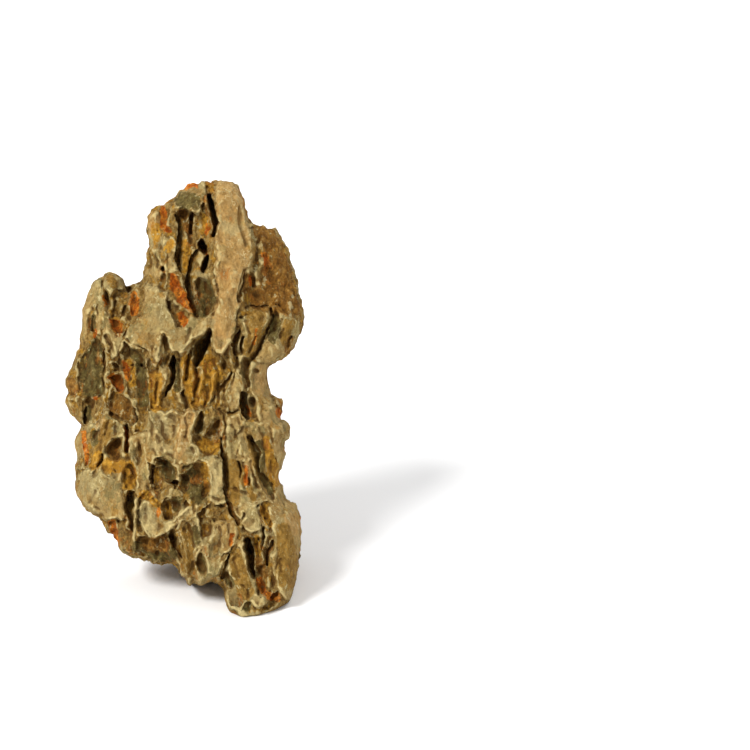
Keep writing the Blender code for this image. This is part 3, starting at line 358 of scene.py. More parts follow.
# Thin crests of the main face, region by region: height, half width and path. Both ends run out.
FOLDS = {
    "pillar": [
        (0.8, 1.6, [(18.3, 214), (18.3, 206), (18.2, 198), (17.6, 190), (17.2, 181), (17.5, 174)]),
        (0.6, 1.6, [(32.5, 213), (35, 207), (37.5, 200.5), (38.6, 197.5)]),
        (0.8, 1.5, [(15, 171), (18, 170), (20, 166.5), (22, 163.5)]),
    ],
    "column": [
        (1.2, 1.5, [(-17.5, 202), (-16, 198), (-15, 194.5), (-15.5, 191)]),
        (1.2, 1.4, [(-12, 213), (-11.8, 207), (-10, 202)]),
        (1.4, 1.6, [(-8, 210), (-7.5, 205), (-5.5, 201.5)]),
        (1.6, 1.8, [(-9, 199.5), (-10, 195), (-9, 190), (-9, 185), (-8.3, 179), (-8.3, 172)]),
        (1.2, 1.4, [(-6.5, 199.5), (-4.5, 197), (-3.4, 193), (-3.8, 188), (-3.5, 182), (-2, 178.5)]),
        (1.2, 1.5, [(-3.5, 178.5), (0, 175), (3, 170.5), (4.4, 166), (6.8, 162.5)]),
        (1.3, 1.5, [(-8.3, 164), (-6.3, 159.5), (-4.3, 155), (-1, 150.8), (3, 150.2)]),
        (1.2, 1.3, [(-1.5, 161), (0.8, 160), (3, 159.3), (6, 160)]),
        (1, 1.3, [(0.3, 200.5), (3.5, 199.5), (5.8, 195.5)]),
        (1.2, 1.5, [(-4, 213.5), (-1, 214.8), (2, 214.5), (5, 213), (8.5, 211.3), (11, 217),
            (14, 213.5)]),
        (1.2, 1.5, [(0, 222), (4, 221), (8, 219.5)]),
    ],
    "knob": [
        (1.3, 1.5, [(-42.5, 175), (-42, 167), (-40.5, 160), (-41, 153), (-42.3, 148), (-41.5, 143),
            (-40, 138.5), (-37, 134.7)]),
        (1.3, 1.5, [(-37.5, 168), (-34.5, 170), (-31, 170.3), (-27.5, 168)]),
        (1, 1.3, [(-37.3, 167), (-37.5, 161), (-39, 156)]),
        (1.2, 1.5, [(-28.5, 162), (-27.5, 158), (-25, 155.3), (-21.5, 156.5)]),
        (1.2, 1.4, [(-31.5, 158), (-29.5, 153), (-31, 147.5), (-34, 147)]),
        (1, 1.2, [(-36.5, 149), (-35, 147.5), (-33, 146)]),
        (1, 1.2, [(-36.8, 143.5), (-35.5, 139.5), (-34, 137)]),
    ],
    "pointed arch": [
        (1.5, 1.5, [(-33, 138.5), (-31.8, 142.5), (-30, 144), (-27.3, 142), (-24, 140), (-20, 138)]),
        (1.4, 1.3, [(-31.8, 139), (-31, 132), (-31.2, 126), (-30, 121)]),
        (1.4, 1.5, [(-38.5, 131.8), (-36, 133.3), (-34, 131.7), (-32.3, 130.8)]),
        (1.4, 1.5, [(-39, 130), (-38, 124), (-38.3, 118), (-38.5, 113)]),
        (1.5, 1.6, [(-29.5, 122), (-29, 116), (-26, 111), (-23, 106.5), (-22.5, 101.5)]),
        (1.2, 1.4, [(-18.5, 127), (-17, 121), (-16.3, 114), (-17, 107)]),
    ],
    "slate panel": [
        (1.2, 1.4, [(-57, 116), (-53.5, 113.6), (-51, 114.6), (-48.5, 112.5), (-46, 113.3),
            (-43.5, 115)]),
        (1, 1.2, [(-49, 136), (-47.3, 140), (-46.8, 145)]),
        (1.3, 1.5, [(-56, 135.5), (-55.6, 129), (-55.4, 122)]),
        (1.2, 1.5, [(-60, 112.5), (-57, 113.5), (-54.5, 110.5)]),
        (1, 1.2, [(-40.8, 139), (-40, 131), (-39.8, 123)]),
    ],
    "star foot": [
        (1.2, 1.5, [(-15, 137), (-14, 142), (-12, 146), (-9.5, 147.3), (-7, 144.5), (-6, 140)]),
        (1.3, 1.6, [(-12.5, 141.5), (-11, 138), (-11.5, 134), (-12, 131)]),
        (1.2, 1.4, [(-13, 127.5), (-10, 127), (-8.3, 124.5), (-8.8, 121)]),
        (1, 1.2, [(-14, 134), (-12.5, 131.5), (-10.5, 128.8)]),
    ],
    "throat and belt": [
        (1.4, 1.3, [(6, 148), (4.7, 142), (3, 138), (0.7, 132.8)]),
        (1.3, 1.3, [(11, 146.5), (7.5, 142), (5, 138.5), (3.8, 134.5)]),
        (1.2, 1.4, [(15.3, 146), (15.8, 141), (19, 137.3)]),
        (1.2, 1.4, [(-2, 116.5), (0.5, 112.5), (2.3, 109)]),
        (1.2, 1.4, [(5, 130), (6, 124), (5.3, 120)]),
        (1.2, 1.4, [(10.5, 131), (11.5, 124), (10.3, 117), (11.5, 110)]),
        (1.2, 1.2, [(17, 119.5), (17.5, 113), (18.3, 107.5)]),
        (1.2, 1.2, [(20.3, 121), (20.3, 115), (21, 108.5)]),
        (1.2, 1.2, [(23.8, 118), (24.3, 112), (24, 107.5)]),
        (1.2, 1.2, [(14.5, 121), (15, 115), (14, 110)]),
        (1.2, 1.4, [(19, 132), (21, 134), (23.5, 131)]),
    ],
    "leaf roots": [
        (1.4, 1.4, [(28, 137), (29.2, 134.3), (28, 131.5), (30, 129), (32, 124.5), (33, 119)]),
        (1.3, 1.3, [(25, 139), (25.4, 134), (27.3, 130.5)]),
        (1.3, 1.4, [(34.2, 126.5), (36, 121), (38, 115.5), (40, 111.8)]),
        (1.2, 1.3, [(27.5, 124.5), (25.8, 118.5), (25.3, 112.5)]),
        (1.2, 1.3, [(29.3, 125), (31, 120), (32.3, 117.5)]),
        (1.3, 1.4, [(37.7, 147), (35.8, 142.5), (33.5, 138)]),
        (1.2, 1.4, [(43.3, 143.5), (46, 144.5), (49, 144), (50.5, 140.5)]),
    ],
    "right flank": [
        (1.3, 1.5, [(45.5, 116), (48, 111.5), (50, 107), (52.5, 103.8)]),
        (1.2, 1.5, [(51.5, 103), (54.5, 102), (57, 99.5)]),
        (1.4, 1.5, [(34, 103), (32, 100), (30.3, 97), (29, 93.5)]),
        (1.5, 1.7, [(36, 86.5), (37.6, 82), (38, 77), (39.7, 73), (42, 68.5), (45, 63)]),
        (1.3, 1.4, [(35.8, 77), (36.3, 72), (38, 66), (40.5, 61.5), (41.5, 56), (43, 50.5)]),
        (1.2, 1.3, [(28.3, 83), (30, 85.5), (32, 84)]),
        (1.2, 1.3, [(33, 85), (32.8, 80), (34, 74), (35, 70.5)]),
        (1.2, 1.4, [(23, 94.5), (26, 93), (28.5, 92)]),
        (1.3, 1.5, [(48.5, 87), (49.3, 82), (50.7, 77)]),
        (1.2, 1.6, [(43, 90), (42.5, 84), (41.5, 78)]),
        (1.1, 1.3, [(53.5, 60), (53.8, 56.5), (56, 53.5), (59, 53), (60.5, 56)]),
    ],
    "brow": [
        (1.8, 2.2, [(-2.8, 105), (-1.5, 100), (-1.8, 95.5), (-3, 91), (-3.3, 86), (-3.5, 80)]),
        (1.4, 1.5, [(-17.5, 107.5), (-13, 107.3), (-9.5, 106), (-5, 107), (-1.5, 105.3), (1.5, 108),
            (5.5, 108.5), (9.5, 107.3)]),
        (1.2, 1.8, [(-17.5, 108), (-15.5, 103), (-13.5, 99), (-12, 95), (-9.5, 90.5), (-8, 86)]),
        (1.5, 1.5, [(10.2, 107), (7.8, 103.5), (6.4, 99), (6, 94.5), (7, 91)]),
        (1.3, 1.4, [(13.2, 98.5), (16, 100.5), (19.5, 103), (22.2, 101.5), (21, 98.5), (19, 96.5),
            (21.5, 94)]),
        (1.4, 1.6, [(21.8, 92), (21.8, 86), (22.6, 81), (22, 75), (22.3, 69), (23.3, 64), (25, 58.5),
            (27, 53), (29, 48)]),
        (1.5, 1.6, [(-1.5, 73.5), (2, 75.3), (4.5, 78.2), (7.5, 80.6), (11, 80.8), (14, 80.5)]),
        (1.3, 1.6, [(14, 80), (15.6, 75), (16, 68), (15.3, 62)]),
        (1.2, 1.5, [(12, 83.5), (16, 84), (20, 84.5)]),
        (1.4, 1.4, [(-13, 80.5), (-11, 83), (-8, 81.5), (-5, 79.8), (-1.8, 77.3), (-1, 74)]),
        (1.4, 1.4, [(-18.5, 81), (-17.3, 76), (-16.8, 70)]),
        (1, 1.3, [(-19, 92), (-18.8, 86), (-18.3, 81)]),
        (1, 1.4, [(-12, 86.5), (-10, 84), (-7, 84.5), (-5, 82)]),
    ],
    "cup and knuckle": [
        (1.4, 1.4, [(-9.3, 60.3), (-6, 61.5), (-3, 60.3), (0.5, 61.5)]),
        (1.4, 1.5, [(-7.3, 50.3), (-4.7, 50), (-2, 52), (1.5, 54.2), (4.5, 57), (7, 57.5)]),
        (1.2, 1.4, [(3, 60.5), (5.5, 58), (6.3, 54), (5, 50.5)]),
        (0.7, 1.5, [(-22.5, 56), (-20, 60), (-16, 60.2), (-12.5, 57.5)]),
        (1.2, 1.4, [(-21, 48.5), (-18.3, 43.5), (-15, 40.3), (-12.5, 41.5), (-9, 42.8), (-5.5, 42.3),
            (-2, 46), (0.5, 51)]),
        (1.2, 1.3, [(-25, 64), (-24.2, 58), (-24.3, 50), (-25, 42), (-25.3, 35)]),
        (1, 1.4, [(0, 66), (3, 63.5), (5, 60.3)]),
        (1.2, 1.4, [(5, 51), (9, 54), (12, 57), (15, 58)]),
        (1.2, 1.4, [(14, 52.5), (18, 52), (22, 55), (25, 58)]),
        (1.2, 1.3, [(16.2, 51.5), (16.5, 47.5), (17, 45)]),
    ],
    "hem and cave": [
        (1.3, 1.4, [(-3, 45), (0.5, 50.8), (3, 51.2)]),
        (1.2, 1.3, [(6.8, 33.5), (8.5, 35.5), (11, 37), (12, 41), (10.5, 46), (9.5, 50)]),
        (1.3, 1.3, [(11.5, 35), (13, 31), (14.5, 27), (14.5, 22.5)]),
        (1.3, 1.3, [(9.5, 35), (7.8, 31), (7.6, 26), (9, 21.5)]),
        (1.2, 1.3, [(13, 41), (14, 36), (15, 31)]),
        (1.3, 1.4, [(30.5, 36), (27, 33.5), (24.5, 31), (21.5, 28), (20, 25)]),
        (1.2, 1.4, [(22.5, 34), (20.8, 31), (20, 27.5)]),
        (1.1, 1.3, [(2, 40), (3, 32), (2.5, 25), (4, 18.5)]),
        (1.1, 1.3, [(-4, 40), (-5.5, 35), (-3, 30), (-0.5, 24), (2, 19.5)]),
        (1.4, 1.3, [(-20.5, 37), (-17.5, 35), (-14.5, 32.3), (-13, 34), (-9, 35)]),
        (1.4, 1.3, [(-24, 33.5), (-21.5, 35), (-18, 33), (-16, 29.5)]),
    ],
    "shoulder": [
        (1.4, 1.5, [(-48, 91), (-45, 97), (-42.5, 103), (-40, 106.5), (-37.5, 104.5), (-34, 102),
            (-30, 100.5)]),
        (1.4, 1.3, [(-43.5, 93), (-41, 97), (-38.5, 101.5), (-37, 103)]),
        (1.2, 1.3, [(-41, 93), (-38, 98), (-35.5, 102)]),
        (1.3, 1.4, [(-31, 99), (-30, 94), (-31, 89)]),
        (1.2, 1.3, [(-27.2, 99), (-27.3, 94), (-27.7, 88), (-28, 84)]),
        (1.2, 1.4, [(-42.5, 85), (-41, 87.5), (-41.5, 91)]),
        (1.3, 1.5, [(-56, 76.5), (-51, 77.5), (-47, 79), (-45, 80.5), (-43, 85)]),
        (1.2, 1.3, [(-39, 91), (-37.5, 89.5), (-38.5, 86.5)]),
        (1.2, 1.4, [(-50, 77), (-50, 84), (-50.5, 90)]),
        (1, 1.4, [(-52, 98), (-51.5, 92), (-52.5, 87)]),
    ],
    "left plate": [
        (1.3, 1.5, [(-42, 80), (-42.5, 76), (-40, 73), (-37.5, 71.8)]),
        (1.1, 1.3, [(-36, 77), (-34.3, 74), (-35, 71.5)]),
        (1.2, 1.4, [(-27.5, 80), (-25.5, 78.5), (-23.5, 75), (-23.2, 69), (-24, 64)]),
        (1.3, 1.5, [(-50, 72.5), (-48, 69), (-45.5, 66), (-43.5, 64)]),
        (1.4, 1.5, [(-45.5, 53.5), (-43, 52.3), (-41.8, 49.8), (-38.5, 49.6), (-36, 51.3),
            (-33.5, 50.5), (-31.5, 48.8)]),
        (1.2, 1.4, [(-30, 64), (-28, 65.3), (-25, 65.3)]),
        (1.1, 1.4, [(-51, 60), (-48, 58.5), (-45.5, 56)]),
    ],
    "foot": [
        (1.5, 1.5, [(31, 36.5), (32, 33), (34.3, 30), (34.8, 25.5), (36.5, 21), (38.8, 18.3),
            (40.5, 14), (42, 10.5), (44.5, 8.5), (43.5, 5.5), (41.5, 3.5)]),
        (1.4, 1.4, [(24, 24.5), (26.5, 22.5), (29, 19), (31, 15)]),
        (1.3, 1.4, [(30.5, 36.5), (27, 32.5), (24.5, 30)]),
        (1.2, 1.4, [(31.5, 5), (34.5, 8), (37.5, 6)]),
        (1.3, 1.4, [(38, 41), (40.5, 39), (41.8, 36), (43.5, 31), (42.8, 27.5), (41, 25.5), (39, 24)]),
        (1.3, 1.3, [(44, 47), (44.3, 41), (43.5, 36)]),
        (1.3, 1.3, [(47.7, 43), (48.3, 39.5), (46.5, 36), (45.3, 31)]),
        (1.2, 1.4, [(44.3, 26), (45, 20), (46.5, 14.5), (49, 12)]),
        (1.1, 1.4, [(51, 26), (50.5, 20), (51.5, 14)]),
        (1.2, 1.4, [(30, 47), (34, 45.5), (38, 43.8), (41.5, 46)]),
    ],
}

# Fine creases of the main face, region by region.
CREASES = {
    "column": [
        [(-17.5, 192), (-17, 186), (-17.3, 180)],
        [(-14, 190), (-13.5, 185), (-13, 179), (-13, 174), (-12, 171), (-10, 170.3)],
        [(3, 205), (2.5, 200), (5, 197), (7, 194)],
    ],
    "star": [
        [(-16, 141), (-15, 136), (-12.5, 131.5)], [(5, 150), (4, 146), (2, 143)],
    ],
    "knob": [
        [(-45, 163), (-44.8, 157)], [(-35.8, 168), (-36.5, 163), (-36.8, 157)],
        [(-28, 167), (-30, 163), (-30.8, 158)], [(-40, 146), (-38.5, 142), (-37, 139)],
        [(-33, 141), (-33.5, 136), (-33, 132)],
    ],
    "slate panel": [
        [(-47.5, 142), (-49, 138), (-50, 134)],
        [(-62, 117), (-58, 115.5), (-55.5, 117.5), (-55.5, 124)],
    ],
    "belt": [
        [(-16.5, 127), (-14, 128), (-11, 127)],
        [(-13, 124), (-13.5, 118), (-12, 112), (-12.5, 108)], [(13.5, 120), (13, 114), (12.5, 109)],
        [(19, 121), (19.4, 115), (19, 110)], [(22.5, 117), (23, 112), (22.8, 107)],
        [(17, 134), (18, 130), (20.5, 127)],
    ],
    "leaf": [
        [(40, 146), (38, 142), (35.8, 137.5)], [(43, 142), (41, 139), (40, 137)],
        [(33.8, 157), (34, 152), (35, 148)], [(52, 155), (52.5, 150), (51.5, 146)],
    ],
    "brow": [
        [(-17, 104), (-15.5, 98), (-15, 93)], [(-10, 100), (-9.8, 95), (-8, 91)],
        [(-6, 104), (-3.8, 101)], [(-4, 98), (-3.8, 93)], [(24, 94.5), (27, 92.7), (29, 93.5)],
        [(25, 100.5), (28, 97), (29, 93.5)], [(30, 103), (31.5, 98), (31, 95)],
        [(14, 84), (17.5, 86), (20, 89)], [(-14.5, 87), (-12.5, 84.5)],
        [(2, 104), (3, 99), (2.5, 94)],
    ],
    "right flank": [
        [(36.5, 82), (36.8, 76), (38.5, 70), (41, 63)], [(46.5, 100), (46.8, 94), (47, 88)],
        [(41, 98), (42, 92), (43, 86)], [(40.3, 59), (41, 54), (42, 51)],
        [(26, 66), (30, 65), (34, 64.5)], [(45, 84), (46.5, 78), (48.5, 72)],
    ],
    "below the arch": [
        [(12, 61.7), (15, 62.3), (19, 61.3), (22, 61.5)], [(18, 56.5), (21, 57.3), (24, 59)],
        [(9.5, 52), (11, 54.5), (14, 56.8)], [(11, 50), (10.5, 46), (11.5, 41)],
        [(15.7, 50), (15.5, 45), (14.5, 42), (13.5, 39)], [(3.5, 49), (4, 46), (6, 41), (7.3, 36)],
        [(20, 46), (20.5, 41), (19.5, 36)], [(24.5, 48), (25, 44)],
    ],
    "left": [
        [(-45, 66), (-47, 62), (-48, 59)], [(-46, 57), (-44, 55.5)],
        [(-28.5, 79), (-26, 76.7), (-24.3, 73), (-24.2, 69)],
        [(-44, 97), (-43.5, 92), (-43, 88), (-42.5, 84)], [(-34, 99), (-35, 95), (-33, 92)],
        [(-22, 91), (-21.5, 86), (-22.5, 80)],
    ],
    "foot": [
        [(46, 45), (47, 41), (45.5, 36), (45, 30)], [(58.5, 21), (58, 15), (58.5, 11)],
        [(52, 29), (53, 24)], [(50, 36), (50.3, 30), (50, 26)],
        [(32, 17), (34.5, 13.5), (35.5, 10)], [(28, 30), (29, 25), (31, 21)],
    ],
}

# Pits of the main face, region by region: deepest cut, how it leans sideways and up as it goes in,
# and its path as (across, up, half width).
PITS = {
    "window": [
        (16, -0.3, 0, [(-2.5, 209.5, 1.3), (-0.5, 204, 1.2), (-1, 198, 1.5), (-1.8, 191, 1.6),
            (-1.3, 184, 1.3), (-0.5, 180, 0.7)]),
        (4.5, 0, 0.2, [(0.5, 209.5, 3)]),
        (11, 0, 0, [(4.5, 211, 1.1), (4.3, 206, 1.1), (3.8, 201.5, 0.8)]),
        (8, 0, 0.6, [(6.5, 209.5, 0.9), (9, 210.3, 0.9)]),
        (4, 0, 0, [(10, 212, 0.6), (11.3, 216, 0.6)]),
        (20, 0, 0, [(9.8, 196, 1.6), (10.8, 193, 1.8), (11.5, 190.5, 1.2)]),
        (20, 0, 0, [(12.8, 188, 1), (12.2, 185, 1.6), (11.5, 181.5, 1.4)]),
        (18, -0.35, 0, [(8.5, 192.5, 1), (6.3, 188, 1), (4.8, 183, 1.3), (4, 178, 1.6),
            (4.6, 172, 2), (6, 166, 2.4), (8.5, 160, 2.2), (9, 157.5, 1.4)]),
        (6, 0, 0, [(10, 174, 3), (12, 168, 4.5), (13, 162, 4)]),
    ],
    "pillar": [
        (22, 0, 0, [(14.3, 221.5, 0.7), (15, 217, 1.4), (16.5, 211, 1.6), (17.3, 206, 1.8),
            (17.2, 202, 1.6), (16.5, 199.5, 0.8)]),
        (3, 0, 0, [(12.5, 226, 0.8), (13.8, 223, 0.9)]),
        (2, 0, 0, [(18.2, 229, 0.8), (18.3, 224, 0.8)]),
        (9.5, -0.3, 0, [(33.8, 182.3, 0.6), (32.8, 179, 0.9), (31.6, 175, 1), (30.8, 170, 0.9),
            (30.5, 164.5, 0.6)]),
        (5, -0.4, 0, [(38.5, 203, 1.8), (39, 196, 2), (38.3, 188, 1.6), (37.8, 180, 1.2),
            (37.5, 173, 0.8)]),
        (2.5, 0, 0, [(34, 209, 0.6), (35, 204.5, 0.9), (35.8, 200.5, 0.5)]),
    ],
    "left column": [
        (9.5, 0, 0, [(-10.3, 182.5, 1.3)]),
        (3, 0, 0, [(-10, 179, 0.9), (-10.2, 175, 1.6), (-10.6, 172, 1.2)]),
        (1.5, 0, 0, [(-17.5, 201.5, 0.5), (-16, 197, 0.6), (-15.2, 193, 0.5)]),
        (1.5, 0, 0, [(-11, 204, 2.5), (-12, 199, 3), (-13, 194, 2)]),
        (2, 0, 0, [(-11, 214, 1), (-10.5, 208, 1.4), (-9.5, 203, 1.6)]),
        (3, 0, 0, [(-7, 202.3, 1.5)]), (2.5, 0, 0, [(-5, 190, 1.6), (-4, 187.5, 1)]),
        (1.5, 0, 0, [(-17.8, 191, 0.5), (-17.2, 186, 0.8), (-15.5, 181, 1)]),
    ],
    "wing": [
        (1.5, 0, 0, [(43.5, 189, 1.2), (44, 184, 0.8), (45, 178, 0.6)]),
        (6, 0.3, 0, [(46, 161, 0.9), (46.5, 156, 0.7), (45, 151, 1), (43, 146, 1.1),
            (40.5, 141.5, 1), (37.5, 136.5, 1.3), (35, 133, 1.3)]),
        (1, 0, 0, [(48.8, 159.5, 2.2), (49.5, 153, 3), (48, 147, 2.5)]),
        (2.5, 0, 0, [(38.5, 146, 0.5), (36, 140, 0.7), (34, 136, 0.8)]),
        (4, 0, 0, [(57, 146, 0.4), (55.8, 142, 0.7), (54.8, 138.5, 0.6)]),
        (2.5, 0, 0, [(32, 155, 0.9), (33, 153.5, 0.7)]),
        (2.5, 0, 0.5, [(34, 161.5, 0.7), (40, 161.3, 0.7), (45.5, 162, 0.7), (50, 162.5, 0.9),
            (53, 160, 0.6)]),
    ],
    "throat": [
        (24, 0.1, 0, [(13.5, 148, 1.5), (12, 145, 2.3), (10, 141, 3), (8.5, 136, 2.8),
            (7.5, 132, 1.6)]),
        (6.5, 0, 0, [(5.5, 139, 0.8), (3.5, 134, 1), (2.8, 129, 1.2), (2.5, 124, 0.8)]),
        (5, 0, 0, [(7.5, 129, 0.9), (8.3, 124, 1), (7.3, 118, 0.9), (7.8, 112, 1), (8.5, 108, 0.8)]),
        (6.5, 0, 0, [(0.5, 117, 1), (1.8, 113, 1.8), (3.2, 109.5, 1.2)]),
    ],
    "leaf roots": [
        (11, -0.3, 0, [(30.5, 150, 0.6), (29.3, 146, 1.3), (28.3, 141, 1.8), (29, 137.5, 1.8)]),
        (8, 0, 0, [(32, 146, 0.7), (31.5, 142, 0.8), (31, 137, 1)]),
        (7.5, 0, 0, [(33.5, 133, 2.2), (32.8, 129, 1.8), (34, 124.5, 1), (34.8, 120.5, 0.8)]),
        (6.5, 0, 0, [(29, 135, 1), (29.8, 130, 1)]), (4, 0, 0, [(38, 128, 1.6), (39.5, 127, 1)]),
        (5, 0, 0, [(26.5, 128, 0.5), (24, 123.5, 0.9), (21.5, 119.5, 1.1), (20, 116.5, 0.6)]),
        (2.5, 0, 0, [(28.5, 128, 0.6), (27, 122, 0.6), (25.5, 116, 0.5)]),
        (5, 0, 0, [(31.5, 127, 0.6), (32.8, 122, 0.8), (33.5, 118, 0.9)]),
        (3, 0, 0, [(22.5, 118, 1.2)]),
    ],
    "right side": [
        (20, -0.2, 0, [(33, 116.5, 1.3), (32.5, 112, 2.2), (33.5, 107, 2.2), (34.8, 103.5, 1.2)]),
        (4.5, 0, 0, [(37, 112, 1.8), (37.5, 106, 2)]),
        (3, 0, 0.5, [(24.5, 106, 0.6), (28, 105.5, 0.9), (30, 106.5, 0.5)]),
        (2.5, 0, 0, [(19.8, 108, 0.5), (22.3, 105.5, 0.6), (23.2, 100, 0.7), (22.5, 95, 0.6)]),
        (5.5, 0, 0, [(46.5, 115.5, 1), (48, 111, 0.7), (50.5, 107, 1.2), (52, 104.5, 1.2)]),
        (3, 0, 0, [(52, 112, 0.9), (52.3, 108, 1)]),
        (9, 0.2, 0, [(36, 92.5, 1.2), (38, 89, 1.8), (39.5, 85, 1.6), (39.3, 80, 1.1), (40, 75, 1.2),
            (42, 70, 1.6), (44.5, 65.5, 1.6), (47.5, 62, 1.6)]),
        (6.5, 0, 0, [(43, 73.5, 0.8), (45, 70, 1.3), (47.5, 65.5, 1.5)]),
        (5, 0, 0, [(29.8, 80.5, 0.5), (30.8, 76, 0.7), (31, 72.5, 0.6)]),
        (2.5, 0, 0, [(32.7, 80, 0.5), (33.3, 73, 1), (33.3, 67.5, 0.8)]),
        (4, 0, 0, [(35, 72.5, 0.4), (35.3, 69.5, 0.7)]),
        (3, 0, 0, [(48.7, 83.5, 0.3), (50, 79, 0.45), (51, 75.8, 0.4)]),
        (3, 0, 0, [(50.5, 67, 1.2)]), (2.5, 0, 0, [(29.5, 87, 0.4), (28.7, 83, 0.6)]),
        (2.5, 0, 0, [(53.3, 58.5, 0.4), (53.8, 54, 0.5)]),
    ],
    "heart and arch": [
        (5, -0.2, 0, [(11, 106.5, 0.8), (9.8, 102, 2.2), (9, 97, 2.8)]),
        (4, 0, 0, [(18.5, 101, 1.8), (17, 97, 3.2), (15, 91, 4), (14, 86, 2.8)]),
        (3.5, 0, 0, [(9, 93, 2.5), (12, 89, 3)]), (6, 0, 0, [(1.5, 72, 2.5), (1, 67, 2.5)]),
        (11, -0.25, 0, [(21.5, 92.5, 0.9), (22.2, 87, 1.1), (23.3, 81, 1.4), (23.8, 75, 1.7),
            (23.5, 69, 1.3), (24, 64, 1), (25, 60, 1), (26.5, 56, 1.6), (28, 52, 1.2),
            (30, 47.5, 0.8)]),
        (4, 0, 0, [(6.5, 112, 0.7), (8, 108.5, 0.9)]), (2.5, 0, 0, [(22, 57, 1.1)]),
    ],
    "knob": [
        (9.5, 0, 0, [(-30, 173, 1.3), (-28.5, 170.5, 1)]),
        (2, 0, 0, [(-24.5, 168, 2), (-25.5, 163, 2.2), (-24.5, 158.5, 1.4), (-22, 157, 0.7)]),
        (3, 0, 0.5, [(-37.5, 167.3, 0.5), (-34.5, 170.3, 0.8), (-31, 171.3, 0.6)]),
        (5.5, 0, 0, [(-40.8, 168, 1.3), (-40.3, 163.5, 1.8), (-40.5, 160, 0.8)]),
        (5, -0.3, 0, [(-46.5, 157, 0.8), (-46, 153.5, 1.6), (-47, 149.5, 1.2)]),
        (1.5, 0, 0, [(-44.7, 162, 0.35), (-44.9, 158, 0.4)]),
        (2.5, 0, 0, [(-42.6, 176, 0.5), (-42.5, 168, 0.6)]),
        (2.5, 0, 0, [(-36, 154, 1.6), (-35, 151, 2.6), (-33.5, 149, 1.4)]),
        (3, 0, 0, [(-30.8, 161, 0.7), (-31.5, 156.5, 0.9)]),
        (3, 0, 0, [(-35.5, 165, 1), (-35.3, 160, 1.6)]), (3, 0, 0, [(-36.5, 157, 0.6)]),
    ],
    "slate panel": [
        (4, 0, 0, [(-41.3, 140, 0.4), (-41.2, 130, 0.6), (-41, 120, 0.7)]),
        (2.5, 0, 0, [(-55.3, 133, 0.5), (-55, 126, 0.6), (-54.8, 119, 0.5)]),
    ],
    "pointed arch": [
        (4, 0, 0, [(-29.8, 142.5, 1), (-29, 138.5, 2.6), (-28.5, 134, 3.2), (-29, 130, 3)]),
        (3.5, 0, 0, [(-25.5, 136, 2.8), (-22.5, 132.5, 2.4)]), (6.5, 0, 0, [(-26.3, 130.7, 0.9)]),
        (6.5, 0, 0, [(-21.5, 130.5, 0.8), (-19.5, 129, 0.7)]),
        (3, 0, 0, [(-39.5, 146, 1.3), (-38.2, 141, 0.9), (-38.2, 136.5, 1), (-35.5, 133.5, 0.8)]),
        (4, 0, 0, [(-36.5, 131.5, 0.7), (-34, 130.5, 0.9)]),
        (6, 0, 0, [(-36.5, 124.5, 1.5), (-34.5, 122.5, 2.8), (-33, 119.5, 2.2), (-32.5, 117.5, 1)]),
        (2, 0, 0, [(-34.5, 128.5, 2)]), (2.5, 0, 0, [(-28.3, 128, 0.9), (-27.2, 123, 0.7)]),
        (2, 0, 0, [(-22.5, 127.5, 1.2), (-21.5, 122, 2), (-20, 117, 2.3), (-20, 112, 1.6)]),
    ],
    "star plate": [
        (18, 0, 0, [(-4.6, 136.5, 0.8), (-4.8, 132, 1.4), (-4.6, 127, 1.3), (-5.2, 122, 1.2),
            (-7, 118.5, 1.1), (-8, 115, 0.6)]),
        (5, 0, 0, [(-2.3, 134, 1.2), (-1.8, 127, 1.6), (-2, 120, 1.6)]),
        (3, 0, 0, [(-10.3, 146.8, 0.8), (-8.3, 143.5, 1.2), (-7.3, 139.5, 1.2), (-8.5, 133, 1.6),
            (-9.5, 129.5, 1.3)]),
        (3, -0.4, 0, [(-6.8, 164, 0.7), (-5.2, 160, 0.6), (-4.2, 155.5, 0.7), (-2.3, 152, 0.8),
            (0.5, 150.7, 0.7)]),
    ],
    "left lobe": [
        (7, -0.3, 0, [(-50.8, 109, 0.7), (-51, 105, 1.2), (-50.5, 101, 1.2)]),
        (3, 0, 0, [(-50, 113, 1.8), (-48, 110, 1.5)]),
        (2, 0, 0, [(-61.5, 116.3, 0.5), (-58.5, 115.5, 0.7), (-55.5, 115, 0.5)]),
        (1.5, 0, 0, [(-57.5, 110, 2), (-56.5, 105.5, 2)]),
    ],
    "shoulder": [
        (3.5, 0, 0, [(-35, 114, 3.2), (-32, 109.5, 5), (-30, 104.5, 4.2)]),
        (12, 0.5, 0, [(-25.8, 107.5, 1.2), (-25.3, 104, 1.6), (-26.5, 100.5, 1.2)]),
        (5.5, 0, 0, [(-38, 106, 0.8), (-34.5, 103.5, 1), (-31, 102, 0.8)]),
        (2, 0, 0, [(-24.5, 96.3, 0.6), (-21, 95.6, 0.7), (-18, 97, 0.5)]),
        (2.5, 0, 0, [(-37, 104, 0.5), (-39.5, 99, 0.9), (-41, 95, 0.6)]),
        (6.5, 0, 0, [(-28.3, 99.5, 0.7), (-29.3, 95, 1.1), (-28.7, 90, 1.2), (-28.8, 86, 0.8)]),
        (3.5, 0, 0, [(-33.5, 91.5, 1.5), (-35, 88, 2.5), (-35.5, 84.5, 3.2), (-33.5, 82.5, 1.6)]),
        (2.5, 0, 0, [(-36.5, 92, 0.9)]),
        (5, 0, 0, [(-42, 83.8, 0.9), (-42.8, 80.5, 1), (-44, 77, 1.2), (-46.5, 73.5, 1.5)]),
        (1.5, 0, 0, [(-39.5, 76, 2.4), (-36.5, 74.5, 2)]),
        (2.5, 0, 0, [(-34.3, 76, 0.5), (-34.8, 72.5, 0.5)]),
        (2.5, 0, 0, [(-27.5, 79.5, 0.6), (-25.5, 77, 1.4), (-24.5, 73.5, 1.4), (-27, 71, 1.6),
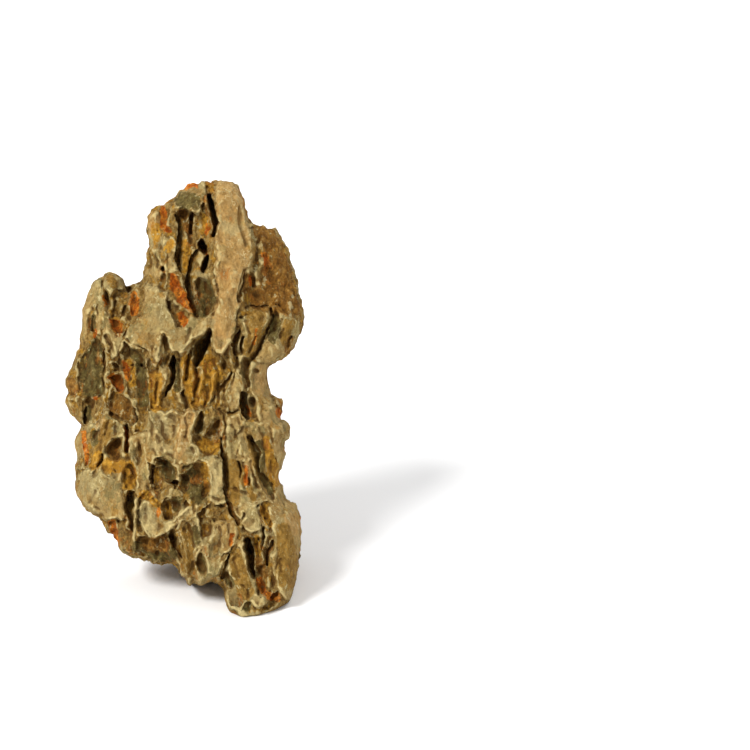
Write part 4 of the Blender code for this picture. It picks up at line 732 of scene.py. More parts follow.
            (-29.5, 66, 1.2)]),
        (3, 0, 0, [(-45.3, 96.5, 0.8), (-45.8, 92.5, 1.3)]),
        (2.5, 0, 0, [(-52, 97.5, 0.8), (-51.5, 92, 1.2), (-51, 87.5, 0.9)]),
        (2.5, 0, 0, [(-50.5, 80.5, 0.6), (-51.5, 77.5, 1)]),
    ],
    "left plate": [
        (5.5, -0.2, 0, [(-26, 64, 1.3), (-26.5, 60.5, 2), (-27.5, 56, 1.8), (-27, 51, 1.2),
            (-26, 47, 1.2), (-26, 43.5, 0.6)]),
        (9.5, 0, 0, [(-28.5, 62.5, 0.7), (-29, 58, 0.7), (-28.5, 53, 0.8)]),
        (3, 0, 0, [(-54.5, 69.5, 1.2), (-54, 66, 1.6), (-52.8, 62.5, 1)]),
        (4, 0, 0.4, [(-45.5, 51.3, 1), (-43.5, 51.5, 0.8)]),
        (4, 0, 0.4, [(-34.5, 50, 1.3), (-33, 48.5, 1.2)]),
        (3, 0, 0, [(-37.5, 47.5, 1.6), (-36, 43.5, 2.2), (-35, 40, 1)]),
        (2.5, 0, 0, [(-22.5, 55, 1), (-22.5, 49, 1.6), (-21.5, 44.5, 1.2)]),
    ],
    "cave": [
        (3.5, 0, 0, [(-12, 31.5, 3), (-7.5, 30, 2.2)]), (3, 0, 0, [(-23.5, 32, 1.5), (-21, 30, 1)]),
        (4, 0, 0, [(-15.5, 26.5, 1.5)]),
        (6.5, -0.2, 0, [(-5, 41, 1.6), (-3, 38.5, 1.8), (-1, 34, 1.5), (0.5, 29.5, 0.9)]),
    ],
    "belly": [
        (9.5, 0, 0, [(-14.5, 78.5, 1), (-15.7, 74, 1.1), (-15.8, 70, 1)]),
        (11, 0, 0.4, [(-10.5, 81, 1.8), (-8, 79.5, 1.3)]),
        (4.5, 0, 0, [(-12, 76, 2.5), (-8, 74.5, 3.4), (-6, 71.5, 2.8)]),
        (11, 0, 0, [(-4.5, 68.5, 1.5), (-3, 69, 1.5), (-3.3, 66.5, 1)]),
        (4, 0, 0, [(-12.5, 71, 2), (-12.5, 67, 1.3)]),
        (4.5, -0.3, 0, [(-6.5, 60, 2), (-7.5, 57, 2.4), (-7, 53, 2.2), (-5, 50.5, 1.2)]),
        (3, 0, 0, [(-3.5, 59.5, 2.8), (-2.5, 56.5, 2.4)]),
        (1.5, 0, 0, [(-12, 46.5, 2), (-9, 47, 1.6)]), (1.5, 0, 0, [(-18.5, 66, 2), (-16, 63, 1.5)]),
    ],
    "hem": [
        (2, 0, 0, [(13.5, 46.5, 2), (13.5, 43, 2), (12.3, 40, 0.8)]),
        (2.5, 0, 0, [(17.3, 50, 0.5), (17.8, 46.5, 0.8)]),
        (2, 0, 0, [(26.8, 42.5, 1.3), (26.6, 39, 1.3), (26.3, 36.5, 0.8)]),
        (3, 0, 0, [(22.8, 33, 0.6), (21.3, 30.5, 0.8), (20.2, 28, 0.6)]),
    ],
    "foot": [
        (7, -0.3, 0, [(29.5, 35.3, 0.6), (26.5, 32, 0.8), (24.5, 29, 0.8), (23, 24.5, 1),
            (21.8, 20, 1)]),
        (4, 0, 0, [(24, 22.5, 1.5), (25, 18.5, 2.2), (27, 15, 1.8)]),
        (4, 0, 0, [(21.5, 14.5, 1), (22.3, 11.5, 1.2)]),
        (2.5, 0, 0, [(21.8, 6.3, 0.6), (23, 4.8, 0.7)]),
        (18, 0, 0, [(34.5, 38.5, 1.5), (35.5, 35, 2.4), (36, 31, 1.8), (36.5, 27, 1.8),
            (37, 23, 1.4), (38.2, 19.5, 0.9)]),
        (4, 0, 0, [(39.5, 36.5, 1.8), (40.5, 32, 2.2), (41, 28, 1.6)]),
        (5.5, 0, 0, [(41, 25, 1.6), (40.5, 20, 1.8), (42, 15, 1.8), (43, 12, 1.2)]),
        (7, 0, 0, [(39.3, 22, 0.7), (40, 16, 0.8), (40.7, 11.5, 0.7)]),
        (6.5, 0, 0, [(43, 46, 0.6), (43.4, 41, 0.7), (43, 37, 0.8), (42.8, 34.5, 0.5)]),
        (7, 0, 0, [(48, 38.5, 0.6), (46.3, 34, 1), (45.5, 29.5, 0.9), (44.7, 26.5, 0.5)]),
        (3, 0, 0, [(41, 39.8, 1)]), (3.5, 0, 0, [(34.5, 5.5, 1.6), (34, 3, 2.3)]),
        (5, 0, 0, [(50.5, 11.5, 1), (48, 8.5, 1.6), (45.5, 5.5, 1.4), (43.5, 3.2, 0.8)]),
        (3, 0, 0, [(59.7, 21.5, 0.3), (59.2, 16, 0.45), (58.6, 12, 0.4)]),
        (3, 0, 0, [(42.5, 55, 1.3), (44.3, 51.5, 1.5), (46.5, 47.5, 0.9)]),
        (2.5, 0, 0, [(57.2, 54.8, 1.4)]),
    ],
}


# Weathering colours laid on the main face, each a set of patches as (across, up, half width) paths.
PAINT = {
    "rust": [
        [(-11.2, 214.5, 1.6), (-10.5, 209, 1.8), (-9.5, 204, 2.2), (-7.5, 202, 1.8)],
        [(-5, 177, 1.8), (-3.5, 172, 2.6), (-0.5, 167, 3), (2.5, 163, 2.4), (5.5, 160, 1.6)],
        [(-0.5, 157.5, 2), (1.5, 154, 2.4)],
        [(-25.5, 168, 2), (-26, 163, 2.8), (-25, 159, 2)],
        [(-37.5, 154, 1.6), (-35, 152, 3.4), (-33, 149, 2)],
        [(-37, 125, 2), (-34.5, 122, 3), (-32.5, 118.5, 2)],
        [(-37.5, 48, 1.8), (-36, 43.5, 2.6), (-34.5, 37, 1.4)],
        [(43, 189.5, 1.5), (43.8, 184, 1.2), (44.5, 180.5, 0.8)],
        [(2, 225.5, 1.5), (5, 227, 2), (7.5, 225, 1)],
        [(-45.5, 148.5, 1.5), (-46.5, 146.5, 0.9)],
        [(11, 192.5, 1), (12, 190, 1)],
        [(-41.5, 168, 0.8), (-41, 163, 0.9)],
        [(-29.3, 98, 1.1), (-29, 92, 1.3), (-28.5, 87, 1)],
        [(-31.5, 134, 0.9), (-29.5, 129, 1.6), (-28.5, 124, 1.5)],
        [(36, 177, 1), (35.5, 173, 1)],
        [(41, 18, 1.6), (42.5, 13, 1.8), (46, 10, 1.6), (50, 10, 2)],
        [(50.5, 107, 1.5), (52, 104, 1.5)],
        [(33.3, 78, 0.7), (33.8, 73, 1), (34, 69, 0.9)],
        [(-46, 113, 1.2)],
        [(26.7, 42, 1.3), (26.3, 37.5, 1.1)],
        [(34.5, 109, 0.9), (35.5, 105.5, 1)],
        [(14.5, 199, 0.9)],
        [(-12.5, 53, 1), (-11.5, 56, 0.8)],
        [(12.8, 206, 0.9), (13, 200, 1)],
        [(39.6, 151, 0.6), (38.7, 146, 0.8), (37.5, 142, 0.7)],
        [(-52, 95, 1.1), (-51, 88, 1.2), (-50.5, 80, 1)],
    ],
    "ochre": [
        [(-14, 124, 4), (-14, 117, 4), (-13.5, 110, 3.5)],
        [(2, 133, 3), (5, 126, 4.5), (6, 118, 4.5), (8, 112, 3.5)],
        [(14, 133, 4), (16, 128, 5), (13, 120, 5.5), (11, 113, 4)],
        [(-39, 78, 4), (-34, 78, 4), (-30, 78, 3)],
        [(-27, 78, 3), (-26, 73, 3.5), (-28, 68, 3)],
        [(12.5, 78, 2.2), (13, 72, 2.6), (12.5, 65, 2.4)],
        [(11, 90, 3), (14, 87, 3.5), (17, 88, 3.5), (19.5, 90, 2)],
        [(-30, 133, 2), (-27, 128, 2.4), (-26, 122, 2.5)],
        [(-20, 63, 3), (-15, 60.5, 2), (-12, 58, 2)],
        [(42.5, 56, 1.6), (44.5, 51, 2.2), (47, 47, 1.6)],
        [(44, 92, 2), (46, 84, 3), (48, 76, 2.5), (49, 70, 2.5)],
        [(14, 227, 2), (15, 224, 1.5)],
        [(-14, 204, 2.5), (-14, 198, 2.5)],
        [(1, 195, 2.5), (3, 188, 2.5), (2, 181, 2)],
        [(12, 209, 2), (12.5, 203, 2)],
        [(-6, 195, 2), (-8, 192, 2)],
        [(-7, 58, 1.6), (-6.5, 54, 2)],
        [(-13, 76, 1.8), (-13, 72, 2)],
        [(40, 40, 2), (41, 33, 2)],
        [(12.8, 46, 2), (13, 43, 2)],
        [(-44, 83, 3), (-47, 79, 2.5)],
    ],
    "slate": [
        [(-45.5, 142, 3), (-47, 136, 5), (-48, 128, 6.5), (-48, 120, 6.5)],
        [(-26.5, 138, 2), (-23, 134, 3), (-21, 127, 2.5), (-20.5, 120, 3), (-19.5, 112, 3)],
        [(12, 173, 4), (13, 166, 5), (11, 160, 3.5)],
        [(49, 158, 1.5), (49, 151, 2.5), (47.5, 145, 2)],
        [(4.5, 76, 3.5), (6, 70, 5.5), (9, 63, 4.5)],
        [(-46, 96, 1.6), (-46, 90, 1.8)],
        [(-8, 78, 3), (-6, 73, 3)],
        [(-47, 156, 2), (-47, 151, 2)],
        [(-2, 60, 2.5), (-3, 56, 2)],
        [(40, 90, 2.5), (42, 82, 1.8), (43, 72, 2), (46, 65, 2)],
        [(1, 218, 5), (6, 217, 4)],
        [(-2.5, 133, 1.2), (-2.2, 126, 1.5), (-2, 119, 1.6)],
        [(10.5, 30, 2.5), (11.5, 24, 2.5)],
        [(24, 22, 2), (26, 17, 2.5)],
        [(-24, 36, 3), (-15, 33, 5), (-6, 32, 4)],
        [(35, 5, 2.5)],
        [(-50, 108, 2), (-50, 103, 2)],
        [(10, 100, 2), (9, 97, 2)],
        [(7, 45, 2.5), (8, 39, 2)],
    ],
    "umber": [
        [(40, 203, 3), (46, 199, 6), (50, 190, 8), (52, 180, 9), (50, 170, 10), (42, 166, 7),
         (58, 162, 5)],
        [(33, 223, 2), (34.5, 215, 2), (36, 208, 1.5)],
        [(35, 177, 2), (34, 170, 2)],
        [(-36, 87, 4), (-35, 83, 3)],
        [(-33, 113, 3.5), (-31, 107, 4), (-36, 108, 3)],
        [(57, 145, 1.5), (55, 139, 1.5)],
        [(0, 210, 3), (3, 204, 3)],
        [(-16, 37, 5), (-10, 37, 4)],
        [(-59, 122, 2.5), (-58, 118, 3)],
        [(40, 30, 2), (43, 22, 2.5)],
    ],
    "tan": [
        [(24, 229, 7), (25, 215, 8), (26, 200, 9), (27, 185, 9), (24, 170, 7), (22, 155, 6),
         (22, 140, 4)],
        [(-16, 210, 3), (-15, 200, 3)],
        [(5, 106, 3), (2, 100, 3.5), (1, 90, 3), (-2, 84, 2)],
        [(-42, 100, 3), (-43, 90, 3)],
        [(41, 128, 3), (41, 118, 3)],
        [(57, 50, 3), (60, 44, 2)],
    ],
    "brown": [
        [(-39, 178, 2), (-36, 174, 2.5)],
        [(39, 156, 5), (38, 147, 4), (35, 138, 3)],
        [(56, 153, 3), (54, 145, 3)],
        [(54, 45, 4), (55, 32, 6), (56, 18, 5)],
        [(28, 32, 3), (31, 22, 4), (34, 12, 4)],
        [(-45, 85, 3), (-38, 100, 3)],
        [(29, 62, 2), (28, 80, 2), (38, 62, 2)],
        [(26, 80, 2), (27, 70, 2), (28, 60, 3)],
        [(3, 45, 3), (4, 35, 3), (3, 25, 2.5)],
        [(-23, 36, 3), (-15, 36, 4), (-6, 36, 3), (-8, 29, 3)],
        [(38, 88, 3), (41, 78, 3), (46, 68, 3)],
    ],
    "pale": [
        [(12, 153.5, 1), (17, 154, 1.5)],
        [(17, 82, 3.5), (18.5, 75, 4), (18, 68, 4), (17, 62, 3)],
        [(-19, 56, 3.5), (-17, 50, 4), (-15, 45, 3)],
        [(-6, 48, 2), (-8, 46, 1.5)],
        [(38, 45, 3), (41, 44, 2)],
        [(-18, 173, 2.5), (-14, 172, 2.5)],
        [(22, 205, 3), (26, 202, 3.5), (31, 203, 2)],
        [(-17.5, 200, 1.4), (-17, 195, 1.6)],
        [(8, 179, 2.5), (12, 178, 2.5)],
        [(2, 55.5, 3), (5, 55, 2)],
        [(15.6, 92, 0.9)],
        [(-12, 140, 2.5), (-12, 136, 2)],
        [(-14, 89, 3), (-6, 87, 2.5)],
        [(-11, 102, 4), (-9, 96, 5)],
        [(-22, 55, 2), (-18, 46, 3)],
        [(36.5, 113, 1.2), (36.6, 108, 1)],
        [(-47, 68, 2), (-45, 64, 2)],
        [(-7, 144, 1), (-6, 140, 1)],
        [(4, 143, 1.2), (4.5, 147, 1)],
        [(12, 44, 1), (16, 42, 1.5)],
        [(43, 9, 2), (44, 6.5, 1.5)],
    ],
}


def edge_distance(x, y, edge):
    """How far each point lies inside a closed edge, and below 0 outside it."""
    near = np.full(x.shape, 1e9)
    inside = np.zeros(x.shape, bool)
    for (ax, ay), (bx, by) in zip(edge, edge[1:] + edge[:1]):
        run, rise = bx - ax, by - ay
        t = np.clip(((x - ax) * run + (y - ay) * rise) / (run * run + rise * rise), 0, 1)
        near = np.minimum(near, np.hypot(x - ax - t * run, y - ay - t * rise))
        if rise:
            inside ^= ((ay > y) != (by > y)) & (x < ax + (y - ay) * run / rise)
    return np.where(inside, near, -near)


def stroke(x, y, path):
    """Distance from a path as a share of its half width there, and that half width."""
    share, half = np.full(x.shape, 99.0), np.ones(x.shape)
    for (ax, ay, a_half), (bx, by, b_half) in zip(path, path[1:] or path):
        run, rise = bx - ax, by - ay
        t = np.clip(((x - ax) * run + (y - ay) * rise) / max(run * run + rise * rise, 1e-9), 0, 1)
        here = a_half + t * (b_half - a_half)
        away = np.hypot(x - ax - t * run, y - ay - t * rise) / here
        half = np.where(away < share, here, half)
        share = np.minimum(share, away)
    return share, half


def blend(low, high, value):
    """0 at low, 1 at high, held beyond them and smooth between."""
    t = np.clip((value - low) / (high - low), 0, 1)
    return t * t * (3 - 2 * t)


def lattice(cell, salt):
    """Three fixed values from -1 to 1 for each cell, from the mixed bits of its whole numbers."""
    mixed = (cell[..., 0] * 73856093) ^ (cell[..., 1] * 19349663) ^ (cell[..., 2] * 83492791)
    mixed = (mixed ^ (salt * 40503)) & 0xFFFFFFFF
    mixed = ((mixed ^ (mixed >> 15)) * 2246822519) & 0xFFFFFFFF
    mixed = ((mixed ^ (mixed >> 13)) * 3266489917) & 0xFFFFFFFF
    mixed ^= mixed >> 16
    return np.stack([(mixed >> shift & 1023) / 511.5 - 1 for shift in (0, 10, 20)], -1)


def noise(points, size, salt):
    """Smooth noise from about -1 to 1: the slopes at a cell's eight corners, eased together."""
    points = points / size
    cell = np.floor(points).astype(np.int64)
    inside = points - cell
    ease = inside**3 * (inside * (inside * 6 - 15) + 10)
    total = 0
    for corner in itertools.product((0, 1), repeat=3):
        weight = np.prod(np.where(corner, ease, 1 - ease), axis=-1)
        total = total + weight * (lattice(cell + corner, salt) * (inside - corner)).sum(-1)
    return total * 1.4


def bowls(points, size, salt):
    """0 at scattered seed points rising to about 1 where their cells meet in sharp crests."""
    points = points / size
    cell = np.floor(points).astype(np.int64)
    near = np.full(points.shape[:-1], 9.0)
    for step in itertools.product((-1, 0, 1), repeat=3):
        seed = cell + step + 0.5 + 0.42 * lattice(cell + step, salt)
        near = np.minimum(near, ((points - seed) ** 2).sum(-1))
    return np.minimum(near / 0.75, 1.4)


def ribs(points, size, salt):
    """Ridged noise: 1 along winding crests, falling to about -1 between them."""
    return 1 - 2.6 * np.abs(noise(points, size, salt))


# Patterns that shape the stone: how each is made, its height, the size of its cells (across, up and
# out where they differ) and the number of its random series.
PATTERNS = {
    "edges across": (noise, 1.1, 8, 1),
    "nicks across": (noise, 0.8, 2.8, 2),
    "edges up": (noise, 1.4, 9, 3),
    "nicks up": (noise, 0.9, 3.2, 4),
    "plate swell": (noise, 1, (6, 16, 6), 6),
    "ground bowls": (bowls, 1, (8, 14, 8), 7),
    "lesser bowls": (bowls, 1, (4.6, 7.5, 4.6), 12),
    "ground ribs": (ribs, 1.1, (5, 16, 5), 8),
    "melted edges": (noise, 1, (10, 14, 10), 11),
    "plate slopes": (noise, 1, (12, 16, 12), 13),
    "core": (noise, 1, (7, 12, 7), 14),
    "floor ribs": (ribs, 0.3, (4.5, 13, 4.5), 9),
    "floor swell": (noise, 0.25, 4, 10),
    "side bowls": (bowls, 5, (15, 32, 15), 21),
    "side ribs": (ribs, 1.2, (7, 30, 7), 22),
    "lesser side bowls": (bowls, 1.6, (6, 12, 6), 28),
    "worn bowls": (bowls, 1.6, (4, 7, 4), 23),
    "worn ribs": (ribs, 0.4, (2.6, 9, 2.6), 24),
    "grain": (noise, 0.1, 2, 25),
    "worn swell": (noise, 0.35, 4.5, 26),
    "pocks": (bowls, 0.5, (2, 3, 2), 27),
}


def pattern(name, points):
    """Values of a named pattern at any points."""
    kind, height, size, salt = PATTERNS[name]
    return height * kind(points, size, salt)


class Block:
    """A regular grid of voxels round the stone, with the maps drawn on its main face.

    depth: how far inside the outline. skin: share of the old smooth skin that is left. raised:
    height of plates, folds and broken ground. fold: above 0 on folds, below 0 in creases. front,
    back: how far the body reaches from the drawing plane. top: height of the main face. sunk: how
    far recesses have lowered it. core: how far behind the plane hollows of the back stop.
    """

    def __init__(self):
        self.low = np.array(BLOCK_LOW)
        self.count = np.ceil((np.array(BLOCK_HIGH) - self.low) / VOXEL).astype(int)
        self.axes = [self.low[i] + VOXEL * np.arange(self.count[i]) for i in range(3)]
        self.x, self.y = np.meshgrid(self.axes[0], self.axes[1], indexing="ij")
        self.flat = np.stack([self.x, self.y, np.zeros(self.x.shape)], -1)
        # every drawn edge comes out ragged: it is looked up a little to one side of its place
        self.ragged_x = self.x + self.drawn("edges across") + self.drawn("nicks across")
        self.ragged_y = self.y + self.drawn("edges up") + self.drawn("nicks up")
        self.warped = np.stack([self.ragged_x, self.ragged_y, np.zeros(self.x.shape)], -1)
        self.depth = edge_distance(self.x, self.y, OUTLINE) - DRAWN_WIDE
        self.raise_ground()
        self.lay_folds()
        front, self.back = thickness(self.x, self.y)
        self.front = front + self.raised
        self.rounding = rounding_at(self.y)
        rise = np.clip(self.depth / self.rounding, 0, 1)
        self.top = self.front * (1 - (1 - rise) ** SQUARENESS) ** (1 / SQUARENESS)
        self.sunk = np.zeros(self.x.shape)
        self.core = 1 + 4 * blend(-0.4, 0.4, self.drawn("core"))

    def drawn(self, name):
        """A named pattern over the drawing."""
        return pattern(name, self.flat)

    def raise_ground(self):
        """Broken ground, and the plates that lie on it.

        The ground is upright bowls, whose crests stand as high as the plates, and ribs. A plate
        rises from its edge in a quarter of an ellipse, lower where the edge has melted away, and
        dishes in behind it. Its skin is lost where the dish goes deep.
        """
        relief = pattern("ground bowls", self.warped + (0, 0, 4))
        lesser = pattern("lesser bowls", self.warped + (0, 0, 2.3))
        raised = 3.2 * relief + 1.2 * lesser + pattern("ground ribs", self.warped) - 2.6
        self.skin = blend(0.0, 1.6, raised)
        melt = 0.3 + 0.7 * blend(-0.2, 0.25, self.drawn("melted edges"))
        slope = 1.0 + 1.8 * blend(0.0, 0.4, self.drawn("plate slopes"))
        swell = pattern("plate swell", self.warped)
        for height, dish, edge in PLATES.values():
            inside = edge_distance(self.ragged_x, self.ragged_y, edge)
            shelf = melt * height * np.sqrt(1 - (1 - np.clip(inside / slope, 0, 1)) ** 2)
            shelf += dish * blend(0.3, 3.5, inside) * (1.3 * relief + 0.5 * lesser - 0.9)
            shelf += blend(0.5, 4, inside) * (0.2 + 0.3 * dish) * swell
            laid = np.clip(inside / 0.8, 0, 1)
            raised = raised + laid * (shelf - raised)
            kept = 0.3 + 0.7 * blend(-0.8 * height, 0.4 * height, shelf)
            self.skin = np.maximum(self.skin, np.clip((inside + 0.7) / 1.4, 0, 1) * kept)
        self.raised = raised

    def lay_folds(self):
        """Thin crests, which taper to their ends as half a sine wave does, and V-shaped creases."""
        self.fold = np.zeros(self.x.shape)
        for height, half, path in sum(FOLDS.values(), []):
            taper = np.sin(np.linspace(0.15, math.pi - 0.15, len(path)))
            path = [(u, v, half * (0.4 + 0.6 * t)) for (u, v), t in zip(path, taper)]
            crest = self.across_stroke(path) ** 1.4
            self.raised = self.raised + height * crest
            self.fold = np.maximum(self.fold, crest)
        for path in sum(CREASES.values(), []):
            crease = self.across_stroke([(u, v, CREASE_HALF) for u, v in path])
            self.raised = self.raised - CREASE_DEPTH * crease
            self.fold = np.where(crease > 0, -crease, self.fold)

    def across_stroke(self, path):
        """1 along a path, falling evenly to 0 at its half width and beyond."""
        return np.maximum(1 - stroke(self.ragged_x, self.ragged_y, path)[0], 0)

    def window(self, low, high):
        """The part of the grid between two corners of the main face, as slices."""
        first = np.clip(np.floor((np.array(low) - self.low[:2]) / VOXEL), 0, self.count[:2] - 1)
        last = np.clip(np.ceil((np.array(high) - self.low[:2]) / VOXEL) + 1, 1, self.count[:2])
        return tuple(slice(int(a), int(b)) for a, b in zip(first, last))

    def look_up(self, values, x, y):
        """Values of a map of the main face at any places, blended between four points round each."""
        u = np.clip((x - self.low[0]) / VOXEL, 0, self.count[0] - 1.001)
        v = np.clip((y - self.low[1]) / VOXEL, 0, self.count[1] - 1.001)
        i, j = u.astype(int), v.astype(int)
        u, v = u - i, v - j
        left = values[i, j] * (1 - v) + values[i, j + 1] * v
        right = values[i + 1, j] * (1 - v) + values[i + 1, j + 1] * v
        return left * (1 - u) + right * u

    def probe(self, values, points):
        """Values of a grid at any points, blended between the eight voxels round each."""
        spot = np.clip((points - self.low) / VOXEL, 0, self.count - 1.001)
        base = spot.astype(int)
        part = spot - base
        total = 0
        for corner in itertools.product((0, 1), repeat=3):
            weight = np.prod(np.where(corner, part, 1 - part), axis=-1)
            total = total + weight * values[tuple((base + corner).T)]
        return total


def thickness(x, y):
    """Front and back of the stone from the drawing plane: a mean of the named places.

    The weight of each falls off with its distance as a bell curve does, more slowly up and down.
    """
    total = front = back = 0
    for across, up, to_front, to_back in THICKNESS.values():
        weight = np.exp(-((x - across) ** 2 + (0.7 * (y - up)) ** 2) / REACH**2) + 1e-9
        total = total + weight
        front = front + weight * to_front
        back = back + weight * to_back
    return front / total, back / total


def rounding_at(y):
    """How wide the edge is rounded at a height: narrow at the foot, wide above it."""
    return FOOT_ROUNDING + (ROUNDING - FOOT_ROUNDING) * blend(FOOT_TOP, UPPER_START, y)


def body_distance(block):
    """Signed distance of the stone before it is carved, about right near its surface.

    A cross section rounds off at its edges as a squared ellipse: the two distances, as shares of
    their half axes, raised to a power and summed. Its level over its slope is the distance.
    """
    inward = np.maximum(block.rounding - block.depth, 0)[..., None]
    rounding = block.rounding[..., None]
    z = block.axes[2][None, None, :]
    reach = np.where(z > 0, block.front[..., None], block.back[..., None])
    power = np.where(z > 0, SQUARENESS, 2.0)
    a, b = inward / rounding, np.abs(z) / reach
    level = (a**power + b**power) ** (1 / power)
    slope = np.sqrt((a ** (power - 1) / rounding) ** 2 + (b ** (power - 1) / reach) ** 2)
    distance = (level - 1) * level ** (power - 1) / np.maximum(slope, 1e-4)
    return np.clip(distance, -30, 30).astype(np.float32)


def cup(share, sunk, deepest):
    """Below 0 inside a hollow that narrows smoothly to its deepest point, above 0 outside it.

    The shares of its half width and of its depth, raised to a power and summed, as for the body.
    """
    return (np.minimum(share, 9) ** MELTED + (sunk / deepest) ** MELTED) ** (1 / MELTED) - 1


def deepening(y, lowest, highest):
    """A hollow's depth as a share: shallow at its foot, full depth under its upper rim."""
    return 0.45 + 0.55 * np.clip((y - lowest) / (highest - lowest), 0, 1)


def carve_recess(block, distance, recess):
    """Lowers the ground inside an edge to a fluted floor that climbs out at its foot.

    Its share is 1 at the edge and 0 where the wall ends. Where the recess leans, each voxel takes
    the share of the place that the lean slides onto it.
    """
    deepest, lean_x, lean_y, edge = recess
    lowest, highest = np.min(edge, 0), np.max(edge, 0)
    part = block.window(lowest - 4, highest + 4)
    inside = edge_distance(block.ragged_x[part], block.ragged_y[part], edge)
    flat = block.flat[part]
    floor = deepest * (1 + pattern("floor ribs", flat) + pattern("floor swell", flat))
    floor *= deepening(block.y[part], lowest[1], highest[1])
    wall = min(0.6 * deepest + 0.6, 3.2)
    share = np.clip(1 - inside / wall, 0, 2)
    under = block.top[part][..., None] - block.axes[2][None, None, :]
    if lean_x or lean_y:
        slid = np.clip(under, 0, 12)
        drawn = np.full(block.x.shape, 2.0)
        drawn[part] = share
        slid_x = block.x[part][..., None] - lean_x * slid
        slid_y = block.y[part][..., None] - lean_y * slid
        share = block.look_up(drawn, slid_x, slid_y)
    else:
        share = share[..., None]
    hollow = -cup(share, np.maximum(under, 0), floor[..., None]) * wall
    distance[part] = np.maximum(distance[part], hollow)
    sunk = np.clip(1 - np.maximum(1 - inside / wall, 0) ** MELTED, 0, 1) ** (1 / MELTED)
    block.sunk[part] = np.maximum(block.sunk[part], sunk * floor)


def carve_pit(block, distance, pit):
    """Takes one pit out of the ground round its path, which leans across and up on its way in."""
    deepest, lean_x, lean_y, path = pit
    across, up, half = np.array(path).T
    wide = half.max() + 3
    low = (across.min() - wide, up.min() - wide)
    part = block.window(low, (across.max() + wide, up.max() + wide))
    ground = (block.top - block.sunk)[part][..., None]
    under = np.maximum(ground - block.axes[2][None, None, :], 0)
    at_x = block.ragged_x[part][..., None] - lean_x * under
    at_y = block.ragged_y[part][..., None] - lean_y * under
    share, half = stroke(at_x, at_y, [(u, v, PIT_GAIN * w) for u, v, w in path])
    floor = deepest * deepening(block.y[part], up.min() - half.max(), up.max() + half.max())
    hollow = -cup(share, under, floor[..., None]) * np.minimum(half, deepest)
    distance[part] = np.maximum(distance[part], hollow)


def scoop_sites(block):
    """Places of the scoops, found at random: whether each is on the front, its middle and its sizes.

    One that is too near the outline, or would lie on another, is left out. On the back the middle
    is where the body's half ellipse puts the surface.
    """
    random = np.random.default_rng(SEED)
    sites = []
    for _ in range(SCOOPS):
        x, y, side = random.uniform((*SCOOPS_LOW, 0), (*SCOOPS_HIGH, 1))
        sizes = random.uniform(SMALLEST_SCOOP, LARGEST_SCOOP)
        on_front = side < FRONT_SHARE
        i, j = ((np.array((x, y)) - block.low[:2]) / VOXEL).astype(int)
        inside = block.depth[i, j]
        if inside < RIM or (on_front and (inside > FRONT_BAND or x > FRONT_RIGHT)):
            continue
        share = 1 - min(inside / block.rounding[i, j], 1)
        behind = block.back[i, j] * math.sqrt(1 - share**2)
        sizes[2] = min(sizes[2], DEEPEST_SHARE * (block.top[i, j] + behind))
        if on_front:
            sizes = sizes * FRONT_SCOOP
        wide, tall, _ = sizes
        apart = [
            math.hypot((x - u) / (wide + w), (y - v) / (tall + h))
            for _, (u, v, _), (w, h, _) in sites
        ]
        if min(apart, default=1) >= APART:
            level = block.top[i, j] if on_front else -behind
            sites.append((on_front, (x, y, level), sizes))
    return sites


def carve_scoops(block, body, distance):
    """Upright hollows over the back and the edges, each the inside of a stretched ball.

    The ball's axes are across, along and out of the body's surface, and it reaches 3 mm further out
    than in. A thin sheet in the middle is left, so that no lobe is worn through.
    """
    for on_front, centre, (wide, tall, deep) in scoop_sites(block):
        centre = np.array(centre)
        out = block.probe(body, centre + 2 * np.eye(3)) - block.probe(body, centre[None])
        out /= np.linalg.norm(out)
        across = np.cross((0, 1, 0), out)
        across /= np.linalg.norm(across)
        along = np.cross(out, across)
        size = tall + 2
        near = np.flatnonzero(np.abs(block.axes[2] - centre[2]) < size)
        part = (*block.window(centre[:2] - size, centre[:2] + size), slice(near[0], near[-1] + 1))
        level = block.axes[2][part[2]]
        spot = [block.x[part[:2]][..., None] - centre[0], block.y[part[:2]][..., None] - centre[1]]
        spot.append((level - centre[2])[None, None, :])
        a, b, c = (sum(s * p for s, p in zip(axis, spot)) for axis in (across, along, out))
        c = np.where(c < 0, c / deep, c / (deep + 3))
        ball = np.sqrt((a / wide) ** 2 + (b / tall) ** 2 + c**2) - 1
        clear = level - FRONT_CORE if on_front else -block.core[part[:2]][..., None] - level
        distance[part] = np.maximum(distance[part], np.minimum(-ball * min(wide, deep), clear))


def spread(values, reach):
    """Mean of a grid over a cube of voxels reaching this far each way, from running totals."""
    for axis in range(3):
        values = np.moveaxis(values, axis, 0)
        padded = np.concatenate([values[:1].repeat(reach + 1, 0), values, values[-1:].repeat(reach, 0)])
        total = np.cumsum(padded, 0, dtype=np.float32)
        values = (total[2 * reach + 1:] - total[: -2 * reach - 1]) / (2 * reach + 1)
        values = np.moveaxis(values, 0, axis)
    return values


def solid_share(distance, reach):
    """How much of a cube round each voxel, reaching this many millimetres each way, is stone."""
    return spread(np.clip(0.5 - distance / VOXEL, 0, 1), round(reach / VOXEL))


def flanges(block, distance):
    """Above 0 in thin flanges behind the main face, which break off.

    That is where the share of stone nearby falls short of the least that holds.
    """
    behind = blend(3, -2, block.axes[2])[None, None, :]
    short = LEAST_STONE - solid_share(distance, FLANGE_REACH)
    return (15 * short - 30 * (1 - behind)).astype(np.float32)


